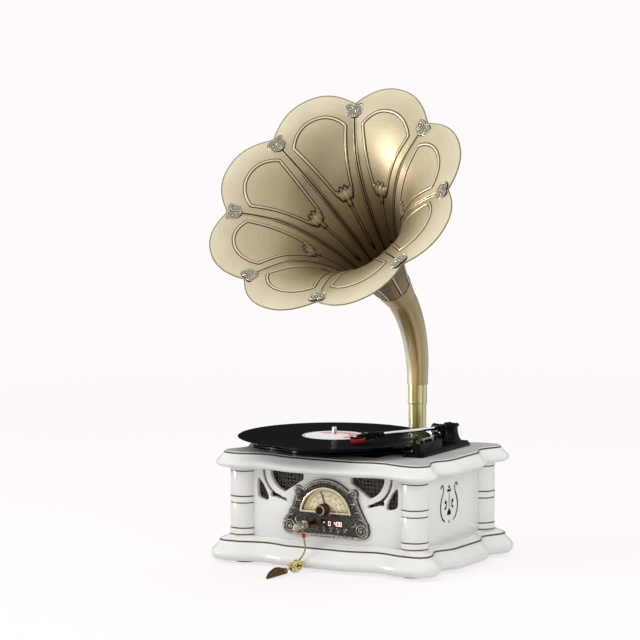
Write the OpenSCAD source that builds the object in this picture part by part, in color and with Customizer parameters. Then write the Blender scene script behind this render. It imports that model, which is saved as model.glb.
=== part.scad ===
// Gramophone-style record player with a radio front and a petal horn.
// Origin on the floor at the middle of the cabinet, +X to the right of the front, +Y to the rear, +Z up.

/* [Cabinet] */
// Width of the cabinet across the outer faces of the side panels
case_w = 310; // [302:1:330]
// Depth of the cabinet across the outer faces of the front and rear panels
case_d = 234; // [228:1:246]
// Height of the panels between the base and the top board
panel_h = 108; // [106:1:120]
// Thickness of the wooden panels
panel_t = 9; // [7:0.5:10]
// Height of the feet
foot_h = 6; // [5:0.5:12]
// Radius of the feet
foot_r = 19; // [15:0.5:20]
// Radius of the corner columns
column_r = 21.4; // [20:0.1:23]
// Depth of the grooves in the columns that hold the panels
groove_d = 5; // [4:0.5:6]
// Gap round a panel in its column groove
groove_gap = 0.1; // [0.05:0.05:0.3]
// How far the base moulding stands out from the panels at its painted line
base_out = 28.5; // [26:0.5:30]
// How far the top moulding stands out from the panels at its painted line
top_out = 23; // [22.5:0.5:26]
// Depth of the hollows in the front and rear edges of the boards
front_dip = 11; // [6:0.5:12]
// Depth of the hollows in the side edges of the boards
side_dip = 14; // [8:0.5:15]
// Radius of the rounded corners of the boards
board_corner_r = 20; // [14:1:24]
// Thickness of the bottom panel
bottom_t = 8; // [6:0.5:10]
// Width of the ledge that the bottom panel sits on
ledge_w = 8; // [5:0.5:9]
// Thickness of the top board over its hollow
top_skin = 14.5; // [12:0.5:16]

/* [Front panel] */
// Height of the dial centre over the bottom of the front panel
dial_up = 40; // [39:0.5:42]
// Outer radius of the dial bezel
bezel_r = 45.2; // [44:0.1:46]
// Width of the dial bezel
bezel_w = 3; // [2:0.1:3.4]
// Outer radius of the escutcheon's arch
escutcheon_r = 58; // [56:0.5:60]
// Thickness of the escutcheon
escutcheon_t = 4; // [3:0.5:5]
// Radius of the fan windows
fan_r = 34.5; // [32:0.5:35]
// Width of the curved bars between the fan windows and the slim windows
fan_bar = 9; // [8:0.5:10]
// Width of the slim curved windows
slim_w = 4.8; // [4:0.2:5.4]
// Thickness of the metal mesh
mesh_t = 1; // [0.8:0.1:1.4]
// Spacing of the holes in the front mesh
mesh_pitch = 6.4; // [6:0.1:8]
// Side of each diamond hole in the mesh
mesh_hole = 3.2; // [2:0.1:3.6]

/* [Controls] */
// Radius of the tuning knob
knob_r = 9.5; // [8:0.5:10]
// Length of the tuning knob
knob_len = 17.6; // [14:0.2:20]
// Radius of the tuning shaft
shaft_r = 3; // [2.5:0.1:3.2]
// Radial clearance of a shaft in its bearing
shaft_gap = 0.05; // [0.02:0.01:0.08]
// Width of the display window
display_w = 43; // [40:0.5:44]
// Height of the display window
display_h = 12.4; // [11:0.2:13]
// Radius of the push buttons
button_r = 1.8; // [1.5:0.1:1.9]
// Gap round a push button
button_gap = 0.2; // [0.1:0.05:0.3]
// Distance between two push buttons
button_pitch = 12; // [11:0.5:12]
// Travel of a push button
button_travel = 0.8; // [0.5:0.1:0.9]
// Radius of the key lock
lock_r = 5.5; // [5:0.1:5.8]
// Distance from the lock's face to the neck of the key
key_reach = 27; // [24:0.5:30]
// Radius of the neck of the key
key_neck_r = 2.6; // [2.2:0.1:2.8]

/* [Record deck] */
// Thickness of the black deck plate
deck_t = 4; // [3:0.5:5]
// Radius of the platter
platter_r = 92; // [86:0.5:93]
// Height of the platter
platter_h = 13; // [12:0.5:14]
// Thickness of the slip mat
mat_t = 1.1; // [0.8:0.1:2]
// Radius of the record
record_r = 150.5; // [125:0.5:150.5]
// Thickness of the record
record_t = 1.2; // [1:0.1:1.6]
// Radius of the record's label
label_r = 50; // [48:1:51]
// Radius of the spindle where it carries the record
spindle_r = 3.57; // [3.55:0.01:3.6]
// Height of the spindle over the record
spindle_up = 13.6; // [8:0.1:16]
// Radius of the drive ring under the platter
drive_ring_r = 58.5; // [54:0.5:60]
// Distance between the spindle and the motor
motor_off = 75; // [74:0.5:76]
// Radius of the motor pulley
pulley_r = 6; // [4:0.1:6.2]
// Radius of the motor
motor_r = 17; // [14:0.5:18]

/* [Tonearm] */
// Distance from the tonearm's pivot to the stylus
arm_len = 179.4; // [176:0.2:182]
// Direction of the tonearm seen from above
arm_turn = -106.5; // [-108:0.5:-102]
// Inward angle of the headshell
shell_angle = 22; // [18:0.5:24]
// Radius of the arm tube
arm_tube_r = 2.75; // [2.2:0.05:3]
// Length of the headshell
shell_len = 45; // [43:0.5:46]
// Width of the headshell
shell_w = 15; // [13:0.5:17]
// Radius of the counterweight
weight_r = 7.5; // [6:0.5:8]

/* [Horn] */
// Outer radius of the lower horn tube
tube_r = 14; // [13.5:0.1:14.5]
// Height of the lower horn tube over the top board
tube_h = 57.5; // [52:0.5:70]
// Outer radius of the horn socket
socket_r = 15; // [14.8:0.1:15.6]
// Height of the horn socket
socket_h = 30.6; // [28:0.2:34]
// Radius of the elbow's bend
elbow_bend = 161; // [150:1:170]
// Angle that the elbow turns through
elbow_sweep = 51.6; // [46:0.2:54]
// Outer radius of the elbow at its lower end
elbow_low_r = 16.4; // [16.2:0.1:17]
// Outer radius of the elbow at the bell
elbow_high_r = 23.5; // [23:0.1:25]
// Thickness of the sheet of the elbow
elbow_wall = 1.5; // [1:0.1:1.5]
// Thickness of the sheet of the bell
bell_wall = 1.2; // [0.8:0.1:1.6]
// Number of petals of the bell
petals = 8; // [6:1:10]
// Radius of the rounded lobes of a badge
badge_r = 10; // [7:0.1:10.5]

/* [Hidden] */
fine = 96;
touch = 0.1;

// Levels and faces of the cabinet
base_h = 36;
base_top = foot_h + base_h;
case_top = base_top + panel_h;
top_h = 24.5;
deck_z = case_top + top_h;
front_y = case_d / 2;
front_in = front_y - panel_t;
side_x = case_w / 2;
side_in = side_x - panel_t;
column_x = side_x - 5;
column_y = front_y - 4.5;
dip_front_half = 50;
dip_side_half = 40;
dip_side_in = 31;
frame_in_x = side_in - 4;
frame_in_y = front_in - 6;
panel_end_x = column_x - sqrt(pow(column_r, 2) - pow(max(front_y - column_y, column_y - front_in), 2)) + groove_d;
panel_end_y = column_y - sqrt(pow(column_r, 2) - pow(max(side_x - column_x, column_x - side_in), 2)) + groove_d;

// Profiles of the mouldings: how far out from the painted line, and height over the lower face
base_profile = [
    [8, 0], [11, 3], [13, 7], [13, 11], [11, 15], [7, 19], [3, 23], [0.5, 27],
    [0, 29.5], [-2, 31.5], [-8, 34], [-12, 35.5], [-12.5, base_h]
];
top_profile = [
    [6, 0], [11, 2.5], [13, 6], [11.5, 10], [7, 14], [3, 18], [0.8, 21], [0, 22.5], [-1.5, top_h]
];

// Front panel: the dial's centre, the fretwork and the control positions
dial_z = base_top + dial_up;
dial_flat = dial_z + 5;
knob_z = dial_z + 12;
arch_top = dial_z + escutcheon_r;
fan_x = side_in - 80;
fan_z = case_top - 2;
fan_in = fan_x - 25;
fan_top = case_top - 2.5;
display_x = 13.2;
display_z = dial_z - 10.5;
lock_x = -22;
lock_z = dial_z - 10.5;
button_x = -2;
button_end = button_x + 3 * button_pitch + button_r + 0.8;
button_z = dial_z - 21.5;
plate_y = -front_y - escutcheon_t;
dial_t = 1;
board_y = -front_in + 4;
board_t = 1.6;
key_neck_y = plate_y - 1.6 - key_reach;
lyre_z = base_top + 56.2;
lyre_y = -8;
lyre_scale = 1.05;
speaker_x = side_in - 58;
speaker_z = base_top + 62;
speaker_r = 40;

// Record deck
platter_x = -32;
platter_y = -35.5;
deck_top = deck_z + deck_t;
platter_z = deck_top + 1.7;
platter_top = platter_z + platter_h;
mat_top = platter_top + mat_t;
record_top = mat_top + record_t;
hub_r = 10;
spindle_shank_r = 3;
spindle_seat_r = 3.38;
motor_dir = 150;
motor_x = platter_x + motor_off * cos(motor_dir);
motor_y = platter_y + motor_off * sin(motor_dir);
belt_gap = 0.25;
belt_t = 1;
lever_turn = 200.82;
lever_x = platter_x + (platter_r + 10.7) * cos(lever_turn);
lever_y = platter_y + (platter_r + 10.7) * sin(lever_turn);

// Tonearm: its pivot, and the place of the headshell's collar in the arm's own frame
arm_x = 96;
arm_y = 72;
arm_z = deck_z + 28;
shell_reach = 33;
arm_rise = 5.7;
collar_x = arm_len - shell_reach * cos(shell_angle);
collar_y = shell_reach * sin(shell_angle);
tube_yaw = atan2(collar_y, collar_x);
arm_tube_len = norm([collar_x, collar_y, arm_rise]);
tube_pitch = asin(arm_rise / arm_tube_len);
shell_tilt = 6;
arm_base_t = 8;
base_plate_z = deck_z + arm_base_t;
rest_x = 121.7;
rest_y = -60;
block_top = deck_z + 21.5;
cue_x = 122.5;
cue_y = 2;
cue_z = block_top + 3.4;

// Horn: the tube's axis, the elbow's bend centre and the bell's joint
horn_x = 32;
horn_y = 121;
tube_top = deck_z + tube_h;
socket_top = tube_top + socket_h;
elbow_straight = 18.4;
bend_z = socket_top + elbow_straight;
joint_y = horn_y - elbow_bend * (1 - cos(elbow_sweep));
joint_z = bend_z + elbow_bend * sin(elbow_sweep);
bell_phase = 99;
petal_steps = 10;
petal_gap = 0.2;
elbow_steps = 32;
// Inner line of the bell at a seam and along the middle of a petal: distance from the joint, and radius
bell_low_r = elbow_high_r - elbow_wall;
seam_line = [
    [0, bell_low_r], [30, 27], [60, 32.5], [88, 39.5], [124, 50], [162, 65], [190, 80],
    [211, 95], [228, 111], [242, 133], [253, 155], [260, 172], [263, 183]
];
petal_line = [
    [0, bell_low_r], [30, 27], [60, 32.5], [88, 39.5], [124, 50.5], [163, 67], [193, 84],
    [216, 101], [235, 120], [253, 145], [265, 168], [271, 188], [272, 207]
];
badge_at_s = 257.5;
badge_at_r = 173;
badge_tilt = -20;
badge_spread = 7.3;
badge_drop = 6;

// Cord from the key's neck to the knot, and the tassel on the floor
cord_r = 1.1;
cord_route = [
    [-21, -151, 66.7], [-18.2, -151.3, 68.6], [-17.4, -151.7, 71.2], [-18.8, -152.1, 74.6],
    [-22, -152.5, 75.9], [-25.2, -152.9, 74.6], [-26.7, -153.3, 71.2], [-25.6, -153.8, 67.8],
    [-23.2, -154.5, 65], [-21, -155.5, 62], [-18.8, -157, 57], [-16.8, -158.5, 51],
    [-14.6, -160, 45], [-13.4, -161, 39], [-14, -162, 33], [-16.2, -163, 27.5],
    [-19.5, -164, 22.5], [-23, -165.5, 18]
];
cord_sides = 8;
bead_at = [-18.4, -157.2, 56];
bead_r = 3.8;
knot_at = [-25.5, -168, 14.8];
knot_dir = [-6.5, -13, -5.8];
knot_r = 8.6;
// Tassel lying towards the front: distance along, half width, half height
tassel_from = [-32.5, -187];
tassel_drift = -1.5;
tassel_rings = [
    [0, 3.6, 3.6], [4, 4.6, 4.6], [8, 4, 4], [15, 6, 5], [28, 7.4, 5.6], [42, 7.8, 5.6], [53, 6.6, 4.6], [58, 4, 3]
];
tassel_lift = 0.4;

function bump(t) = abs(t) < 1 ? (1 + cos(180 * t)) / 2 : 0;
function unit(v) = v / norm(v);
function mix(a, b, t) = a + (b - a) * t;

// One corner of a polygon replaced by a smooth curve that starts and ends cut back by d
function corner_arc(a, p, b, d, n = 4) =
    let (s = p + unit(a - p) * min(d, norm(a - p) * 0.49), e = p + unit(b - p) * min(d, norm(b - p) * 0.49))
    [for (i = [0 : n]) let (t = i / n) (1 - t) * (1 - t) * s + 2 * t * (1 - t) * p + t * t * e];

function rounded(pts, d) = [
    for (i = [0 : len(pts) - 1])
        each corner_arc(pts[(i + len(pts) - 1) % len(pts)], pts[i], pts[(i + 1) % len(pts)], d)
];

// A quarter of a serpentine board edge, from the middle of the right side to the middle of the rear
function side_edge(hw, y) = hw - side_dip * bump((y - (column_y - dip_side_in)) / dip_side_half);
function rear_edge(hd, x) = hd - front_dip * bump((x - (column_x - dip_front_half)) / dip_front_half);
function board_quarter(hw, hd, r) = concat(
    [for (i = [0 : 13]) let (y = (hd - r) * i / 13) [side_edge(hw, y), y]],
    [for (a = [15 : 15 : 75]) [hw - r + r * cos(a), hd - r + r * sin(a)]],
    [for (i = [15 : -1 : 0]) let (x = (hw - r) * i / 15) [x, rear_edge(hd, x)]]
);
function board_outline(hw, hd, r) =
    let (q = board_quarter(hw, hd, r), n = len(q))
    concat(
        [for (i = [0 : n - 2]) q[i]],
        [for (i = [n - 1 : -1 : 1]) [-q[i][0], q[i][1]]],
        [for (i = [0 : n - 2]) [-q[i][0], -q[i][1]]],
        [for (i = [n - 1 : -1 : 1]) [q[i][0], -q[i][1]]]
    );
function board_rings(out, profile, z) = [
    for (p = profile)
        [for (q = board_outline(side_x + out + p[0], front_y + out + p[0], board_corner_r + p[0])) [q[0], q[1], z + p[1]]]
];

function centre_of(ring) = [for (k = [0 : 2]) [for (p = ring) p[k]] * [for (p = ring) 1 / len(ring)]];
// A closed skin through a list of rings that run anticlockwise seen from the last ring, with a fan over each end
function band(n, k, m) = [
    for (i = [0 : n - 1])
        let (a = k * n + i, b = k * n + (i + 1) % n, c = ((k + 1) % m) * n + i, d = ((k + 1) % m) * n + (i + 1) % n)
        each [[a, c, d], [a, d, b]]
];
module loft(rings) {
    n = len(rings[0]);
    m = len(rings);
    last = (m - 1) * n;
    polyhedron(
        points = concat([for (r = rings) each r], [centre_of(rings[0]), centre_of(rings[m - 1])]),
        faces = concat(
            [for (i = [0 : n - 1]) [m * n, i, (i + 1) % n]],
            [for (k = [0 : m - 2]) each band(n, k, m)],
            [for (i = [0 : n - 1]) [m * n + 1, last + (i + 1) % n, last + i]]
        )
    );
}
module loft_round(rings) {
    n = len(rings[0]);
    m = len(rings);
    polyhedron(points = [for (r = rings) each r], faces = [for (k = [0 : m - 1]) each band(n, k, m)]);
}

// Flat shapes drawn as x and z, pushed out to the front from y0, or drawn as y and z, pushed to the right from x0
module on_front(y0, t) {
    translate([0, y0, 0]) rotate([90, 0, 0]) linear_extrude(t) children();
}
module on_side(x0, t) {
    translate([x0, 0, 0]) rotate([90, 0, 90]) linear_extrude(t) children();
}
module front_pin(x, z, y0, y1, r) {
    translate([x, y0, z]) rotate([90, 0, 0]) cylinder(r = r, h = y0 - y1, $fn = fine);
}
module both_sides() {
    children();
    mirror([1, 0, 0]) children();
}
module ring(r, r_in, h) {
    difference() {
        cylinder(r = r, h = h, $fn = fine);
        translate([0, 0, -1]) cylinder(r = r_in, h = h + 2, $fn = fine);
    }
}

// Cabinet
module base_moulding() color("ivory") difference() {
    loft(board_rings(base_out, base_profile, foot_h));
    translate([-frame_in_x, -frame_in_y, foot_h - 1]) cube([2 * frame_in_x, 2 * frame_in_y, base_h + 2]);
    translate([-frame_in_x - ledge_w, -frame_in_y - ledge_w, foot_h - 1])
        cube([2 * (frame_in_x + ledge_w), 2 * (frame_in_y + ledge_w), bottom_t + 1]);
}
module bottom_panel() color("burlywood") {
    w = 2 * (frame_in_x + ledge_w - groove_gap);
    d = 2 * (frame_in_y + ledge_w - groove_gap);
    difference() {
        translate([-w / 2, -d / 2, foot_h]) cube([w, d, bottom_t]);
        for (i = [-3, -2, -1, 1, 2, 3]) translate([i * 24 - 4, -30, foot_h - 1]) cube([8, 60, bottom_t + 2]);
    }
}
module top_board() color("ivory") difference() {
    loft(board_rings(top_out, top_profile, case_top));
    translate([-frame_in_x, -frame_in_y, case_top - 1]) cube([2 * frame_in_x, 2 * frame_in_y, top_h - top_skin + 1]);
    translate([-135, -95, case_top - 1]) cube([210, 183, top_h + 2]);
    translate([horn_x, horn_y, deck_z - top_skin]) cylinder(r = tube_r + touch, h = top_skin + 1, $fn = fine);
    for (p = deck_screw_at) translate([p[0], p[1], deck_z - 9]) cylinder(r = 1.6, h = 10, $fn = fine);
}
module fretwork() {
    arc_in = fan_r + fan_bar;
    intersection() {
        translate([fan_x, fan_z]) circle(r = fan_r, $fn = fine);
        polygon([
            [fan_in, fan_top], [fan_in, fan_top - 11.5], [fan_x + 7, fan_top - 32.5],
            [fan_x + 12, fan_top - 36], [fan_x + fan_r + 4, fan_top - 36], [fan_x + fan_r + 4, fan_top]
        ]);
    }
    intersection() {
        difference() {
            translate([fan_x, fan_z]) circle(r = arc_in + slim_w, $fn = fine);
            translate([fan_x, fan_z]) circle(r = arc_in, $fn = fine);
        }
        polygon([[fan_x, fan_z - 60], [fan_x + 60, fan_z - 60], [fan_x + 60, fan_top], [fan_x + 20, fan_top]]);
    }
    foot = [fan_x + 12, fan_z - 41];
    polygon(rounded([
        foot, foot + [7, -4.5], foot + [13.5, -1.5], foot + [21, -2.5], foot + [22.5, 3.5], foot + [19, 7.5],
        foot + [10, 4]
    ], 2.5));
    drop = [fan_x + 39, fan_z - 49.5];
    polygon(rounded([
        drop, drop + [8, 1.5], drop + [15.5, 4], drop + [18.5, 8], drop + [18.5, 32], drop + [16, 36],
        drop + [7, 25.5], drop + [0, 12.5], drop + [-3, 4.5]
    ], 3));
}
module dial_sector(r, z_low) intersection() {
    translate([0, dial_z]) circle(r = r, $fn = fine);
    translate([-r - 1, z_low]) square([2 * r + 2, 2 * r + 2]);
}
module front_panel() color("ivory") difference() {
    translate([-panel_end_x, -front_y, base_top]) cube([2 * panel_end_x, panel_t, panel_h]);
    both_sides() on_front(-front_in + 1, panel_t + 2) fretwork();
    on_front(-front_in + 1, panel_t + 2) {
        dial_sector(bezel_r + 4.8, dial_flat - 3);
        translate([lock_x - 9, button_z - 6.5]) square([button_end + 2.4 - lock_x + 9, dial_flat - button_z + 5]);
    }
}
module rear_panel() color("ivory") difference() {
    translate([-panel_end_x, front_in, base_top]) cube([2 * panel_end_x, panel_t, panel_h]);
    translate([socket_x - 35, front_in - 1, socket_z - 14]) cube([70, panel_t + 2, 28]);
    for (p = socket_screw_at) translate([p[0], front_y + 1, p[1]]) rotate([90, 0, 0]) cylinder(r = 1.6, h = 8, $fn = fine);
}
// Lyre cut-out, drawn about its own centre
function stroke(path, widths) =
    let (
        n = len(path),
        side = [for (i = [0 : n - 1]) let (t = unit(path[min(i + 1, n - 1)] - path[max(i - 1, 0)])) [-t[1], t[0]]]
    )
    concat(
        [for (i = [0 : n - 1]) path[i] + side[i] * widths[i] / 2],
        [for (i = [n - 1 : -1 : 0]) path[i] - side[i] * widths[i] / 2]
    );
module lyre_half() {
    arm = [[24, 30], [19.6, 28.2], [17.2, 23], [18.8, 17], [24, 9], [27.2, 0], [26.2, -11], [21.4, -20], [13, -25.6]];
    polygon(stroke(arm, [2.4, 3.6, 3.8, 3.6, 4.2, 4.6, 4.3, 3.8, 2.4]));
    translate([25.4, 26.6]) circle(r = 2.5, $fn = 32);
    leaf = [[11.6, 7], [8.8, 3], [8.6, -3], [11.4, -8]];
    polygon(stroke(leaf, [1.6, 4.2, 4.2, 1.6]));
    translate([12.4, 3.4]) circle(r = 2.4, $fn = 32);
    translate([12.4, -5.4]) circle(r = 2.2, $fn = 32);
    translate([3.9, 20]) circle(r = 2.6, $fn = 32);
    translate([3, -13.6]) circle(r = 3.6, $fn = 32);
}
module lyre() {
    lyre_half();
    mirror([1, 0]) lyre_half();
    translate([-1.3, -6]) square([2.6, 27]);
    translate([0, 25]) circle(r = 3, $fn = 32);
    translate([-3.9, 18.6]) square([7.8, 2.6]);
    polygon([[-6.4, -12.4], [6.4, -12.4], [0, -4.6]]);
    translate([0, -26.4]) circle(r = 2.2, $fn = 32);
}
module side_panel() difference() {
    translate([side_in, -panel_end_y, base_top]) cube([panel_t, 2 * panel_end_y, panel_h]);
    on_side(side_in - 1, panel_t + 2) translate([lyre_y, lyre_z]) scale(lyre_scale) lyre();
}
module left_panel() color("ivory") mirror([1, 0, 0]) side_panel();
module right_panel() color("ivory") side_panel();
module column(sx, sy) color("ivory") translate([sx * column_x, sy * column_y, base_top]) {
    r = column_r;
    h = panel_h;
    low = 12;
    mid_low = 51.5;
    mid_high = 61.9;
    high = h - 6.5;
    difference() {
        rotate_extrude($fn = fine) polygon([
            [0, 0], [r, 0], [r, low - 0.8], [r - 0.9, low], [r - 0.6, low + 0.8],
            [r - 0.6, mid_low - 0.8], [r - 0.9, mid_low], [r, mid_low + 0.8],
            [r, mid_high - 0.8], [r - 0.9, mid_high], [r - 0.6, mid_high + 0.8],
            [r - 0.6, high - 0.8], [r - 0.9, high], [r, high + 0.8], [r, h], [0, h]
        ]);
        scale([sx, sy, 1]) {
            translate([-r - 1, front_in - column_y - groove_gap, -1])
                cube([r + 1 - (column_x - panel_end_x) + groove_gap, panel_t + 2 * groove_gap, h + 2]);
            translate([side_in - column_x - groove_gap, -r - 1, -1])
                cube([panel_t + 2 * groove_gap, r + 1 - (column_y - panel_end_y) + groove_gap, h + 2]);
        }
    }
}
// Four feet under the columns and one under the middle of the bottom panel
feet_at = concat([for (sx = [-1, 1], sy = [-1, 1]) [sx * (column_x - 3), sy * (column_y - 0.5)]], [[0, 0]]);
module feet() color("dimgray") for (p = feet_at)
    translate([p[0], p[1], 0]) rotate_extrude($fn = fine) polygon([
        [0, 0], [foot_r - 2.5, 0], [foot_r - 2, 0.5], [foot_r - 2, 1.5], [foot_r, 2], [foot_r, foot_h - 1],
        [foot_r - 1, foot_h], [0, foot_h]
    ]);

// Meshes behind the openings
module diamonds(w, h, pitch, hole) {
    nx = floor((w - pitch) / pitch);
    nz = floor((h - pitch) / pitch);
    for (i = [0 : nx - 1], k = [0 : nz - 1])
        translate([(i - (nx - 1) / 2) * pitch, (k - (nz - 1) / 2) * pitch])
            rotate(45) square(hole, center = true);
}
module grille_meshes() color("saddlebrown") {
    w = 89;
    h = 54;
    both_sides() on_front(-front_in + mesh_t, mesh_t) translate([fan_x + 17, case_top - 2 - h / 2]) difference() {
        square([w, h], center = true);
        diamonds(w, h, mesh_pitch, mesh_hole);
    }
}
module lyre_meshes() color("saddlebrown") {
    both_sides() on_side(side_in - mesh_t, mesh_t) translate([lyre_y, lyre_z]) difference() {
        square([68, 68], center = true);
        diamonds(60, 66, 9, mesh_hole + 1);
    }
}

// Loudspeakers, opening to the front
module at_speaker() translate([speaker_x, -front_in + mesh_t, speaker_z]) rotate([-90, 0, 0]) children();
module speaker() {
    r = speaker_r;
    at_speaker() {
        rotate_extrude($fn = fine) polygon([
            [r - 4, 0], [r, 0], [r, 3], [r - 2, 3], [20, 24], [22, 24], [22, 38], [0, 38], [0, 26],
            [15, 26], [15, 24], [17, 22], [r - 4, 4.5]
        ]);
    }
}
module speaker_left() color("gray") mirror([1, 0, 0]) speaker();
module speaker_right() color("gray") speaker();
module speaker_cones() color("darkslategray") {
    r = speaker_r - 4.3;
    both_sides() at_speaker() rotate_extrude($fn = fine) polygon([
        [0, 11.5], [6, 12.5], [10, 15], [12, 17], [r - 4, 3], [r - 2, 1], [r, 1.4], [r, 2.4], [r - 2, 2.2],
        [r - 4, 4.4], [12.6, 18.6], [9, 16.4], [0, 13]
    ]);
}

// Circuit board on posts behind the front panel, with the tuner box, the display module and four switches
module circuit_board() color("darkgreen") difference() {
    union() {
        translate([-50, board_y, button_z - 13]) cube([100, board_t, 20]);
        translate([-30, board_y, button_z + 6]) cube([60, board_t, 46]);
        for (sx = [-1, 1], z = [-9, 1])
            translate([sx * 45, -front_in, button_z + z]) rotate([-90, 0, 0]) cylinder(r = 3, h = board_y + front_in, $fn = fine);
        translate([-13, board_y + board_t, knob_z - 10]) cube([26, 18, 22]);
        translate([display_x - display_w / 2 + 0.4, -front_y - 0.2, display_z - display_h / 2 + 0.4])
            cube([display_w - 0.8, board_y + front_y + 0.2, display_h - 0.8]);
        for (i = [0 : 3])
            translate([button_x + i * button_pitch - 2.5, board_y - 5.6, button_z - 2.5]) cube([5, 5.6, 5]);
    }
    front_pin(0, knob_z, board_y + 30, board_y - 1, shaft_r + shaft_gap);
    front_pin(lock_x, lock_z, board_y + 3, board_y - 1, lock_r + 0.7);
}

// Rear sockets
socket_x = -60;
socket_z = base_top + 38;
jack_x = [socket_x - 4, socket_x + 20];
inlet_x = socket_x - 26;
socket_screw_at = [for (sx = [-1, 1], sz = [-1, 1]) [socket_x + sx * 38, socket_z + sz * 15]];
module rear_socket_plate() color("dimgray") difference() {
    translate([socket_x - 42, front_y, socket_z - 19]) cube([84, 2, 38]);
    for (x = jack_x) translate([x, front_y + 3, socket_z]) rotate([90, 0, 0]) cylinder(r = 6.2, h = 4, $fn = fine);
    translate([inlet_x, front_y + 3, socket_z]) rotate([90, 0, 0]) cylinder(r = 5.1, h = 4, $fn = fine);
    for (p = socket_screw_at) translate([p[0], front_y + 3, p[1]]) rotate([90, 0, 0]) cylinder(r = 1.7, h = 4, $fn = fine);
}
module rear_jacks() color("goldenrod") {
    for (x = jack_x) translate([x, 0, socket_z]) rotate([-90, 0, 0]) difference() {
        union() {
            translate([0, 0, front_y - 8]) cylinder(r = 6, h = 10.5, $fn = fine);
            translate([0, 0, front_y - 4]) cylinder(r = 4.15, h = 14.5, $fn = fine);
        }
        translate([0, 0, front_y - 2]) cylinder(r = 1.6, h = 13, $fn = fine);
    }
    translate([inlet_x, 0, socket_z]) rotate([-90, 0, 0]) {
        difference() {
            union() {
                translate([0, 0, front_y - 10]) cylinder(r = 7, h = 10, $fn = fine);
                translate([0, 0, front_y - 4]) cylinder(r = 4.9, h = 7, $fn = fine);
            }
            translate([0, 0, front_y - 8]) cylinder(r = 3, h = 12, $fn = fine);
        }
        translate([0, 0, front_y - 8.5]) cylinder(r = 1, h = 10, $fn = fine);
    }
}
deck_screw_at = [[-144, -80], [-144, 90], [70, 92], [88, -34]];
module screw(len) {
    rotate_extrude($fn = fine) polygon([[0, 0], [3.2, 0], [2.6, 1.2], [1.4, 1.7], [0, 1.7]]);
    translate([0, 0, -len]) cylinder(r = 1.4, h = len + 0.2, $fn = fine);
}
module screws() color("silver") {
    for (p = deck_screw_at) translate([p[0], p[1], deck_top]) screw(8);
    for (p = socket_screw_at) translate([p[0], front_y + 2, p[1]]) rotate([-90, 0, 0]) screw(7);
}

// Escutcheon and radio controls
module escutcheon_half() {
    polygon([
        [0, button_z - 10], [61, button_z - 10], [74, button_z + 6], [74.5, button_z + 13], [68.5, button_z + 22],
        [62, button_z + 34], [57, button_z + 45], [54, button_z + 54], [44, button_z + 60], [0, button_z + 60]
    ]);
    translate([49, button_z + 60]) circle(r = 7, $fn = fine);
    translate([62.5, button_z + 3.5]) circle(r = 13.5, $fn = fine);
}
module escutcheon() color("dimgray") {
    difference() {
        on_front(-front_y, escutcheon_t) difference() {
            union() {
                escutcheon_half();
                mirror([1, 0]) escutcheon_half();
                dial_sector(escutcheon_r, button_z + 20);
            }
            dial_sector(bezel_r - bezel_w, dial_flat + bezel_w);
            translate([display_x, display_z]) square([display_w, display_h], center = true);
        }
        for (i = [0 : 3])
            front_pin(button_x + i * button_pitch, button_z, -front_y + 1, plate_y - 1, button_r + button_gap);
        front_pin(lock_x, lock_z, -front_y + 1, plate_y - 1, lock_r + shaft_gap);
    }
    both_sides() {
        front_pin(49, button_z + 60, plate_y, plate_y - 1.2, 4.6);
        front_pin(62.5, button_z + 3.5, plate_y, plate_y - 1.4, 7.5);
    }
}
module dial_bezel() color("palegoldenrod") on_front(plate_y, 2) difference() {
    dial_sector(bezel_r, dial_flat);
    dial_sector(bezel_r - bezel_w, dial_flat + bezel_w);
}
module dial_face() color("wheat") difference() {
    on_front(-front_y + dial_t, dial_t) dial_sector(bezel_r + 2.8, dial_flat - 1);
    front_pin(0, knob_z, -front_y + 2, -front_y - 2, shaft_r + 0.4);
}
module dial_pointer() color("black") translate([0, 0, knob_z]) {
    hub = 3.85;
    difference() {
        union() {
            on_front(-front_y - 0.5, 1.2) circle(r = hub, $fn = fine);
            on_front(-front_y - 0.7, 0.8) rotate(22)
                polygon([[-1.2, 2], [1.2, 2], [0.4, 27.5], [-0.4, 27.5]]);
        }
        front_pin(0, 0, -front_y + 1, -front_y - 3, shaft_r + shaft_gap);
    }
}
module tuning_knob() color("sienna") {
    knob_y = plate_y - 2.4;
    difference() {
        translate([0, knob_y, knob_z]) rotate([90, 0, 0]) rotate_extrude($fn = fine) polygon([
            [0, 0], [knob_r, 0], [knob_r, 5], [knob_r - 0.6, 6], [knob_r - 0.6, knob_len - 3],
            [knob_r - 2, knob_len - 0.6], [knob_r - 3, knob_len], [knob_r - 3.4, knob_len - 0.8], [0, knob_len - 0.8]
        ]);
        for (a = [0 : 15 : 345])
            translate([knob_r * cos(a), knob_y - 7, knob_z + knob_r * sin(a)])
                rotate([90, 0, 0]) cylinder(r = 0.8, h = knob_len, $fn = 24);
    }
    front_pin(0, knob_z, board_y + 18, knob_y - 1, shaft_r);
}
module display_window() color("black")
    translate([display_x - display_w / 2 + 0.2, plate_y + 0.6, display_z - display_h / 2 + 0.2])
        cube([display_w - 0.4, escutcheon_t - 1, display_h - 0.4]);
module push_button(i) color("gainsboro") {
    x = button_x + i * button_pitch;
    front_pin(x, button_z, -front_y + 0.5, plate_y - 1.2, button_r);
    front_pin(x, button_z, -front_y + 1.1, -front_y + 0.1, button_r + 0.8);
    front_pin(x, button_z, board_y - 5.6 - button_travel - 0.2, -front_y + 0.5, 1.2);
}
module key_lock() color("brown") difference() {
    union() {
        front_pin(lock_x, lock_z, board_y + 4, plate_y - 1.6, lock_r);
        front_pin(lock_x, lock_z, -front_y + 3, -front_y + 0.4, lock_r + 1.6);
    }
    translate([lock_x - 0.7, plate_y - 2, lock_z - 3.2]) cube([1.4, 16, 6.4]);
}
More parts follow.
